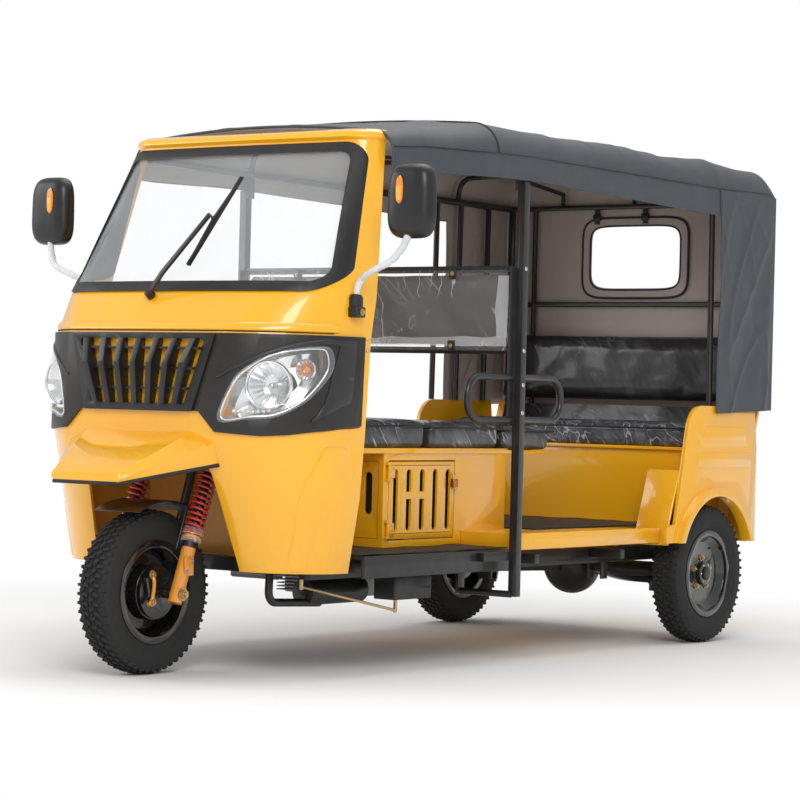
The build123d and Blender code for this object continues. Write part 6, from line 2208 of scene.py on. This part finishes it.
@dataclass
class RearBay(Assembly):
    """Quarter panels, tail, bench and the floors with their mats."""

    panels: tuple[Dressed, ...] = (
        Dressed("quarter_panel_left", "quarter_skin_left", Finishes.BODY, 0.004, 30.0),
        Dressed("quarter_panel_right", "quarter_skin_right", Finishes.BODY, 0.004, 30.0),
        Dressed("wheel_housings", "wheel_housing_skins", Finishes.BODY, 0.004, 30.0),
        Dressed("tail_panel", "tail_skin", Finishes.BODY, 0.003, 30.0),
        Dressed("tail_lamps", "tail_lamp_lenses", Finishes.RED, 0.006, 30.0),
        Dressed("bench_box", "bench_box_panels", Finishes.BODY, 0.002, 30.0),
        Dressed("bay_floor", "passenger_floor", Finishes.BODY, 0.003, 30.0),
        Dressed("cab_floor", "cab_floor_pan", Finishes.UNDER, 0.003, 30.0),
    )

    def build(self) -> None:
        """Build the passenger bay."""
        self.dress()
        shop = self.shop
        self.put(
            shop.copy("bench_lid", "bench_lid_plate", 0.002, 30.0), Finishes.BODY, "bench_lid",
            body="seat_lid"
        )
        bench = Pad(
            "bench_cushion", "bench_seat_pad", "seat_lid", Finishes.SEAT, fill=0.8, voxel=0.013
        )
        bench.build(shop)
        bench.welt(shop)
        back = Pad(
            "bench_backrest", "bench_back_pad", self.body, Finishes.BACKREST, fill=0.6, voxel=0.014,
            reach=0.016, inset=0.008, flat_low=False
        )
        back.build(shop)

        def skirt(share: float, turn: float) -> Point:
            x = -0.606 + 1.212 * turn
            fold = 0.0012 * ripple(x * 9.0, share * 3.0, 5.0)
            return (x, at(2.9930 + 0.050 * share + fold), 0.788 + 0.152 * share)

        self.put(
            shop.grid("bench_back_skirt", 8, 60, skirt, thick=0.002, flat=(0.15, 1.21)),
            Finishes.BACKREST
        )
        self.mat("cab_floor_mat", 0.585, 0.425, 1.300, 0.4102, 0.020, (0.365, 0.845))
        self.mat("passenger_floor_mat", 0.480, 1.640, 2.590, 0.4652, 0.016)
        for side, name in SIDES:
            x, y = side * 0.520, at(3.010) + 0.034
            ring = [
                (-0.001, 0.0005), (-0.001, 0.030), (0.004, 0.030), (0.007, 0.024), (0.008, 0.0005)
            ]
            self.put(
                shop.lathe(f"rear_indicator_{name}", ring, (x, y, 0.700), (0, 1, 0), 36),
                Finishes.AMBER
            )

    def mat(self, name: str, half: float, front: float, rear: float, z: float, wave: float,
            notch: tuple[float, float] | None = None) -> None:
        """Loose ribbed rubber mat with curling edges.

        Args:
            name: the mat's name.
            half: half of its width.
            front: station of its front edge.
            rear: station of its rear edge.
            z: floor level.
            wave: how far its edges wander.
            notch: half width and station of a seat box that it goes round.
        """
        strips = [(name, -half, half, front, (notch[1] - 0.005) if notch else rear)]
        for sign in (-1, 1) if notch else ():
            low, high = sorted((sign * (notch[0] + 0.004), sign * half))
            strips.append(
                (f"{name}_{'left' if sign > 0 else 'right'}", low, high, notch[1] - 0.005, rear)
            )
        for label, low, high, start, stop in strips:
            def place(
                share: float, turn: float, low: float = low, high: float = high,
                start: float = start, stop: float = stop
            ) -> Point:
                x = low + (high - low) * turn
                s = start + (stop - start) * share
                edge = max(0.0, 1 - 6 * min(share, 1 - share, turn, 1 - turn))
                rise = 0.0012 + wave * 0.35 * edge ** 2 * max(0.0, ripple(x * 7, s * 7, 3.0) + 0.15)
                return (x, at(s), z + rise)
            self.put(self.shop.grid(label, 40, 40, place, thick=-0.004), Finishes.MAT)


@dataclass
class Canopy(Assembly):
    """Cloth roof over its bows, its curtains, window binding and straps."""

    hoops: tuple[tuple[float, ...], ...] = (
        # station, half width, lower edge, seam, shoulder, crown
        (0.555, 0.577, 1.713, 1.792, 1.850, 1.878), (0.700, 0.625, 1.718, 1.802, 1.886, 1.911),
        (1.075, 0.659, 1.729, 1.812, 1.923, 1.946), (1.300, 0.662, 1.734, 1.816, 1.932, 1.954),
        (2.645, 0.662, 1.705, 1.810, 1.936, 1.956), (3.060, 0.662, 1.800, 1.818, 1.920, 1.940),
        (3.116, 0.658, 1.800, 1.806, 1.870, 1.890),
    )
    bows: tuple[float, ...] = (0.555, 1.075, 1.960, 2.660, 3.090)
    shoulder_in: float = 0.096
    seam_share: float = 0.16  # of the way from the lower edge to the crown
    shoulder_share: float = 0.46
    end_share: float = 0.97  # of the roof's length; the rest turns down
    curtain: tuple[float, float] = (2.650, 3.1165)  # stations of its edges
    curtain_top: float = 1.808
    curtain_foot: float = 0.915
    curtain_x: float = 0.6645
    curtain_stitches: tuple[float, float] = (2.662, 3.104)  # stations of the seams
    stitch_x: float = 0.6705
    wall_half: float = 0.660
    wall_z: tuple[float, float] = (0.933, 1.800)
    wall_station: float = 3.1125
    window_clear: tuple[float, float] = (0.222, 0.135)  # half width and height
    binding_inside: tuple[float, float] = (0.226, 0.138)
    binding_outside: tuple[float, float] = (0.262, 0.172)
    strap_x: tuple[float, float] = (-0.19, 0.05)
    strap_half: float = 0.012
    strap_z: tuple[float, float] = (1.715, 1.790)
    buckle_half: float = 0.018
    buckle_z: tuple[float, float] = (1.728, 1.758)

    def build(self) -> None:
        """Build the canopy."""
        self.roof()
        self.curtains()
        self.rear_wall()
        self.straps()

    def hoop(self, station: float) -> tuple[float, ...]:
        """Sizes of the section at a station, between the listed hoops."""
        rows = self.hoops
        for first, second in zip(rows, rows[1:]):
            if station <= second[0] + 1e-9:
                t = (station - first[0]) / (second[0] - first[0])
                t = max(0.0, min(1.0, t))
                return tuple(a + (b - a) * t for a, b in zip(first[1:], second[1:]))
        return rows[-1][1:]

    def outline(self, station: float, turn: float) -> tuple[float, float]:
        """X and Z on the roof's section.

        Args:
            station: metres behind the front axle.
            turn: from the left lower edge at 0 over the crown to the right at 1.

        Returns:
            X and Z.
        """
        half, low, seam, shoulder, crown = self.hoop(station)
        sign = 1 if turn <= 0.5 else -1
        t = turn * 2 if turn <= 0.5 else (1 - turn) * 2
        inner = half - self.shoulder_in
        if t < self.seam_share:
            k = t / self.seam_share
            return sign * half, low + (seam - low) * k
        if t < self.shoulder_share:
            k = (t - self.seam_share) / (self.shoulder_share - self.seam_share)
            bulge = 0.17 * 4 * k * (1 - k)
            x = half + (inner - half) * k
            z = seam + (shoulder - seam) * k
            dx, dz = inner - half, shoulder - seam
            return sign * (x + dz * bulge), z - dx * bulge
        k = (t - self.shoulder_share) / (1 - self.shoulder_share)
        x = inner * (1 - k)
        z = shoulder + (crown - shoulder) * (1 - (1 - k) ** 2)
        return sign * x, z

    def droop(self, station: float) -> float:
        """How far the cloth sinks between its bows, from 0 to 1."""
        for first, second in zip(self.bows, self.bows[1:]):
            if first <= station <= second:
                return math.sin(math.pi * (station - first) / (second - first)) ** 0.8
        return 0.0

    def folds(self, station: float, rise: float) -> float:
        """Height of the cloth's soft slanting folds at a place on the side.

        Args:
            station: metres behind the front axle.
            rise: metres above the lower edge.

        Returns:
            Metres outward.
        """
        slant = station * 4.2 + rise * 8.0
        broad = ripple(slant, rise * 3.0, 2.5)
        sharp = 1.0 - abs(ripple(station * 2.6 - rise * 6.5, rise * 2.6, 8.0)) * 4.0
        return broad * 0.0075 + max(0.0, sharp) ** 2 * 0.0055

    def roof(self) -> None:
        """Roof skin as one curved sheet with a lining behind it."""
        start, stop = self.hoops[0][0], self.hoops[-1][0]

        def place(share: float, reach: float) -> Point:
            turn = 1.0 - reach
            station = start + (stop - start) * min(share / self.end_share, 1.0)
            x, z = self.outline(station, turn)
            t = min(turn, 1 - turn) * 2
            top = max(0.0, min(1.0, (t - self.seam_share) / 0.3))
            sink = self.droop(station) * (0.012 * top + 0.002)
            fold = self.folds(station, abs(x) * 0.6 + z - 1.7) * (1.0 if t > 0.18 else t / 0.18)
            if t < self.shoulder_share:
                x += math.copysign(fold * 0.6 + 0.001, x)
            if t < self.seam_share:
                flap = self.folds(station, (t - self.seam_share) * 0.6)
                x += math.copysign(flap * (1 - t / self.seam_share), x)
            y = at(station)
            if share > self.end_share:
                k = (share - self.end_share) / 0.03
                z = z + (1.795 - z) * k
                y += 0.001
            else:
                z += fold * top - sink
            return (x, y, z)

        roof = self.shop.grid("canopy_roof_cloth", 150, 120, place, thick=0.0035, flat=(2.65, 1.75))
        self.put(roof, Finishes.CLOTH, "canopy_roof", inner=Finishes.LINING)
        self.pipings()
        for sign, name in SIDES:
            hem = []
            for k in range(50):
                station = 0.56 + (2.65 - 0.56) * k / 49
                x, z = self.outline(station, 0.0 if sign > 0 else 1.0)
                x += sign * (self.folds(station, -0.096) + 0.0005)
                hem.append((x, at(station), z + 0.002 - 0.002 * self.droop(station)))
            self.put(self.shop.tube(f"valance_hem_{name}", hem, 0.0032), Finishes.CLOTH)

    def pipings(self) -> None:
        """Front hem and the piped seams along the sides and across the top."""
        shop = self.shop
        ends = [self.outline(0.557, 0.01 + 0.98 * k / 40) for k in range(41)]
        hem = [(x, at(0.556), z + 0.001) for x, z in ends]
        self.put(shop.tube("canopy_front_hem", hem, 0.0050, turns=4), Finishes.CLOTH)
        cross = []
        for k in range(61):
            turn = 0.084 + 0.832 * k / 60
            x, z = self.outline(1.075, turn)
            side = max(0.0, 1 - 4 * (min(turn, 1 - turn) - 0.08))
            cross.append((x * (1 + 0.0035 * side), at(1.075), z + 0.0015))
        self.put(shop.tube("canopy_cross_seam", cross, 0.0030), Finishes.BINDING)
        for sign, name in SIDES:
            line = []
            for k in range(90):
                station = 0.558 + (3.112 - 0.558) * k / 89
                x, z = self.outline(station, 0.083 if sign > 0 else 0.917)
                line.append((x + sign * 0.0028, at(station), z - 0.001))
            self.put(shop.tube(f"canopy_side_seam_{name}", line, 0.0028), Finishes.BINDING)

    def area(self, made: bpy.types.Object) -> float:
        """Area of one face of a sheet that has a lining."""
        return round(sum(face.area for face in made.data.polygons) / 2, 4)

    def curtains(self) -> None:
        """Side curtains that hang from the roof's edge in soft folds."""
        for sign, name in SIDES:
            def place(share: float, reach: float, sign: int = sign) -> Point:
                turn = reach if sign > 0 else 1.0 - reach
                s = self.curtain[0] + (self.curtain[1] - self.curtain[0]) * turn
                low = self.curtain_foot + 0.018 * turn
                z = low + (self.curtain_top - low) * share
                loose = 1 - share
                slant = s - 0.42 * (z - 1.3)
                wave = ripple(slant * 6.5, z * 1.2, sign * 3.0) * 0.012
                wave += max(0.0, 1.0 - 5.0 * abs(ripple(slant * 4.6, z * 1.6, 4.0))) ** 2 * 0.007
                wave += max(
                    0.0, 1.0 - 6.0 * abs(ripple((s + 0.3 * z) * 5.2, z * 2.2, 14.0))
                ) ** 2 * 0.004
                hold = min(1.0, (1 - turn) * 9.0) * min(1.0, loose * 5 + 0.1)
                x = self.curtain_x + (wave + 0.004) * hold
                return (sign * max(x, self.curtain_x), at(s), z)
            sheet = self.shop.grid(
                f"side_curtain_{name}", 90, 50, place, thick=0.0025, flat=(0.89, 0.466)
            )
            self.put(sheet, Finishes.CLOTH, f"canopy_side_{name}", inner=Finishes.LINING)
            for label, s in zip(("front", "rear"), self.curtain_stitches):
                line = [
                    ((sign * self.stitch_x, at(s), 0.93 + 0.86 * k / 30), (0, 0, 1))
                    for k in range(31)
                ]
                self.repeat(
                    self.patterns.stitches, f"curtain_stitches_{label}_{name}", Finishes.THREAD,
                    line, path=True
                )

    def window(self, half: tuple[float, float], steps: int) -> list[tuple[float, float]]:
        """Rounded rectangle round the window's middle."""
        return [(x * half[0], z * half[1]) for x, z in round_ring(steps, WINDOW_ROUND)]

    def rear_wall(self) -> None:
        """Rear curtain with its bound window."""
        steps = 96
        inner = self.window(self.window_clear, steps)
        edges = [self.window(half, steps) for half in (self.binding_inside, self.binding_outside)]

        def outer(point: tuple[float, float]) -> tuple[float, float]:
            x, z = point
            up = (self.wall_z[1] - WINDOW_Z) if z > 0 else (WINDOW_Z - self.wall_z[0])
            k = min(self.wall_half / max(abs(x), 1e-6), up / max(abs(z), 1e-6))
            return x * k, z * k

        def place(share: float, turn: float) -> Point:
            a = inner[int(round(turn * steps)) % steps]
            b = outer(a)
            x, z = a[0] + (b[0] - a[0]) * share, a[1] + (b[1] - a[1]) * share
            soft = 4 * share * (1 - share)
            wave = (ripple(x * 4.0, z * 4.0, 9.0) * 0.006 + math.sin(x * 17.0) * 0.0015) * soft
            return (x, at(self.wall_station) + wave, WINDOW_Z + z)

        wall = self.shop.grid(
            "rear_curtain", 24, steps, place, ring=True, thick=0.003, flat=(0.4, 2.6)
        )
        self.put(wall, Finishes.CLOTH, "canopy_rear", inner=Finishes.LINING)
        for label, size, radius, depth in (
            ("outer", self.binding_outside, 0.0052, -0.0075),
            ("inner", (0.224, 0.137), 0.0040, -0.008)
        ):
            ring = [(x, at(3.110 + depth), BINDING_Z + z) for x, z in self.window(size, 64)]
            self.put(
                self.shop.tube(f"window_binding_{label}", ring, radius, closed=True),
                Finishes.BINDING
            )

        def band(share: float, turn: float) -> Point:
            a, b = (edge[int(round(turn * steps)) % steps] for edge in edges)
            return (
                a[0] + (b[0] - a[0]) * share, at(3.1045),
                BINDING_Z + a[1] + (b[1] - a[1]) * share
            )

        self.put(
            self.shop.grid(
                "window_binding_band", 3, steps, band, ring=True, thick=0.003, flat=(0.04, 1.4)
            ), Finishes.LINING
        )

    def straps(self) -> None:
        """Two webbing straps with buckles above the window."""
        for x in self.strap_x:
            name = "left" if x > 0 else "right"
            self.put(
                self.shop.slab(
                    f"window_strap_{name}", (x - self.strap_half, at(3.095), self.strap_z[0]),
                    (x + self.strap_half, at(3.100), self.strap_z[1]), 0.001
                ), Finishes.WEBBING
            )
            self.put(
                self.shop.slab(
                    f"strap_buckle_{name}", (x - self.buckle_half, at(3.089), self.buckle_z[0]),
                    (x + self.buckle_half, at(3.096), self.buckle_z[1]), 0.003
                ), Finishes.MIRROR
            )


@dataclass
class Frame(Assembly):
    """Poles, roof frame, chassis and what hangs under the floor."""

    panels: tuple[Dressed, ...] = (
        Dressed("roof_frame", "roof_tubes", Finishes.FRAME, 0.0, 40.0),
        Dressed("side_pole_left", "side_pole_and_loop_left", Finishes.FRAME, 0.002, 40.0),
        Dressed("side_pole_right", "side_pole_and_loop_right", Finishes.FRAME, 0.002, 40.0),
        Dressed("chassis_rails", "side_rails", Finishes.UNDER, 0.002, 40.0),
        Dressed("cross_members", "cross_bars", Finishes.UNDER, 0.002, 40.0),
        Dressed("rear_cross_member", "rear_cross_bar", Finishes.UNDER, 0.002, 40.0),
        Dressed("steering_neck", "steering_neck_tubes", Finishes.UNDER, 0.0, 40.0),
        Dressed("rear_axle", "rear_axle_and_springs", Finishes.UNDER, 0.001, 40.0),
        Dressed("engine", "engine_block", Finishes.ALLOY, 0.006, 30.0),
        Dressed("exhaust", "exhaust_pipe", Finishes.UNDER, 0.001, 40.0),
        Dressed("battery_box", "underfloor_box", Finishes.UNDER, 0.004, 30.0),
        Dressed("brake_linkage", "brake_rod", Finishes.ZINC, 0.0, 40.0),
    )
    bolt_z: tuple[float, ...] = (1.416, 1.122, 1.000, 0.900)
    pole_face_x: float = 0.6585
    pole_station: float = 1.265
    spring_x: float = 0.420

    def build(self) -> None:
        """Build the frame and the running gear."""
        self.dress()
        spots = [
            ((side * self.pole_face_x, at(self.pole_station), z), (side, 0, 0))
            for z in self.bolt_z for side in (1, -1)
        ]
        self.repeat(
            self.patterns.screws, "pole_bolts", Finishes.STEEL, spots, Radius=0.0085, Height=0.006
        )
        self.repeat(
            self.patterns.ribs, "engine_cooling_fins", Finishes.ALLOY,
            [((0, at(0.975), 0.235), (0, 0, 1))], Count=9, Step=(0.0, 0.0, 0.012),
            Size=(0.345, 0.10, 0.004)
        )
        self.repeat(
            self.patterns.ribs, "spring_clips", Finishes.UNDER,
            [((side * self.spring_x, at(2.644), 0.222), (0, 0, 1)) for side in (-1, 1)], Count=2,
            Step=(0.0, 0.040, 0.0), Size=(0.068, 0.010, 0.060)
        )


# ------------------------------------------------------------------- studio
@dataclass
class Studio:
    """Floor, backdrop, soft light and the camera."""

    focal_px: float = 2699.19
    centre_px: tuple[float, float] = (396.998, 400.773)
    azimuth: float = 36.114
    elevation: float = -0.03
    roll: float = 1.464
    location: tuple[float, float, float] = (5.985, -6.797 + FRONT_AXLE_Y, 0.928)

    def build(self) -> None:
        """Set up floor, light and camera."""
        self.camera()
        self.floor()
        self.light()
        bpy.context.scene.view_settings.view_transform = "Standard"

    def camera(self) -> None:
        """Camera at the viewing place."""
        a, e, r = (math.radians(v) for v in (self.azimuth, self.elevation, self.roll))
        ahead = Vector((-math.sin(a) * math.cos(e), math.cos(a) * math.cos(e), -math.sin(e)))
        right = Vector((math.cos(a), math.sin(a), 0))
        up = right.cross(ahead)
        across = right * math.cos(r) + up * math.sin(r)
        tall = up * math.cos(r) - right * math.sin(r)
        data = bpy.data.cameras.new("studio_camera")
        data.sensor_width = SENSOR_MM
        data.lens = self.focal_px / PICTURE_PX * SENSOR_MM
        data.shift_x = (PICTURE_PX / 2 - self.centre_px[0]) / PICTURE_PX
        data.shift_y = (self.centre_px[1] - PICTURE_PX / 2) / PICTURE_PX
        data.clip_end = 100.0
        camera = link("studio_camera", data)
        turn = Matrix((across, tall, -ahead)).transposed().to_4x4()
        camera.matrix_world = Matrix.Translation(self.location) @ turn
        bpy.context.scene.camera = camera

    def floor(self) -> None:
        """Pale floor that keeps the vehicle's shadow."""
        mesh = bpy.data.meshes.new("studio_floor")
        mesh.from_pydata(
            [(-30, -30, 0), (30, -30, 0), (30, 30, 0), (-30, 30, 0)], [], [(0, 1, 2, 3)]
        )
        floor = link("studio_floor", mesh)
        material = bpy.data.materials.new("pale_floor")
        net = Net(material)
        far = (
            (net.axis("X") * net.axis("X") + net.axis("Y") * net.axis("Y")) * 0.01
        ).ramp(0.045, 0.16)
        net.surface(
            base_color=net.tint(far, (0.90, 0.90, 0.90), (0.0, 0.0, 0.0)),
            roughness=0.9,
            specular_ior_level=0.0,
            emission_color=net.tint(far, (0.0, 0.0, 0.0), (1.0, 1.0, 1.0)),
            emission_strength=1.0,
        )
        mesh.materials.append(material)
        floor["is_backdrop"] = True

    def light(self) -> None:
        """White world with two large soft lamps."""
        world = bpy.data.worlds.new("studio_world")
        bpy.context.scene.world = world
        net = Net(world)
        path = net.add("ShaderNodeLightPath")
        seen = path["Is Camera Ray"].maths("MAXIMUM", path["Is Transmission Ray"])
        level = net.add(
            "ShaderNodeMapRange", None, {"Value": seen, "To Min": 0.62, "To Max": 1.0}
        )["Result"]
        sky = net.add(
            "ShaderNodeBackground", None, {"Color": (1.0, 1.0, 1.0, 1.0), "Strength": level}
        )[0]
        net.add("ShaderNodeOutputWorld", None, {"Surface": sky})
        for name, place, size, power in (
            ("key_light", (5.5, -6.5, 5.5), 4.0, 330.0),
            ("fill_light", (-6.0, -4.5, 4.0), 4.0, 130.0),
            ("top_light", (0.0, 1.0, 6.5), 5.0, 160.0),
        ):
            data = bpy.data.lights.new(name, "AREA")
            data.size = size
            data.energy = power
            lamp = link(name, data)
            lamp.location = place
            lamp.rotation_euler = (
                Vector((0, -0.2, 0.8)) - Vector(place)
            ).to_track_quat("-Z", "Y").to_euler()


def corners(bounds: Iterable[Iterable[float]]) -> list[list[float]]:
    """Box corners as plain lists."""
    return [[float(value) for value in corner] for corner in bounds]


def main() -> None:
    """Load the frame, build every assembly and measure the sizes."""
    logging.basicConfig(level=logging.INFO, format="%(name)s: %(message)s")
    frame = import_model()
    plain_box = corners(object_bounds())
    Studio().build()
    shop = Workshop(frame)
    patterns = Patterns(shop)
    groups: list[Assembly] = [
        NoseCab(shop, patterns), Steering(shop, patterns), Wheel(shop, patterns, "front_wheel"),
        Wheel(
            shop, patterns, "rear_wheel_left", place=(0.592, REAR_AXLE, WHEEL_Z),
            tyre="rear_tyre_left", rim="rear_rim_left", label="rear_left", outer=1, driven=True
        ),
        Wheel(
            shop, patterns, "rear_wheel_right", place=(-0.592, REAR_AXLE, WHEEL_Z),
            tyre="rear_tyre_right", rim="rear_rim_right", label="rear_right", outer=-1, driven=True
        ), Mirror(shop, patterns, side=1, label="left"),
        Mirror(shop, patterns, side=-1, label="right"), Seats(shop, patterns),
        RearBay(shop, patterns), Canopy(shop, patterns), Frame(shop, patterns),
    ]
    for group in groups:
        group.build()
        log.info("built %s", type(group).__name__)
    {"cad": plain_box, "visual": corners(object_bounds())}


if __name__ == "__main__":
    main()
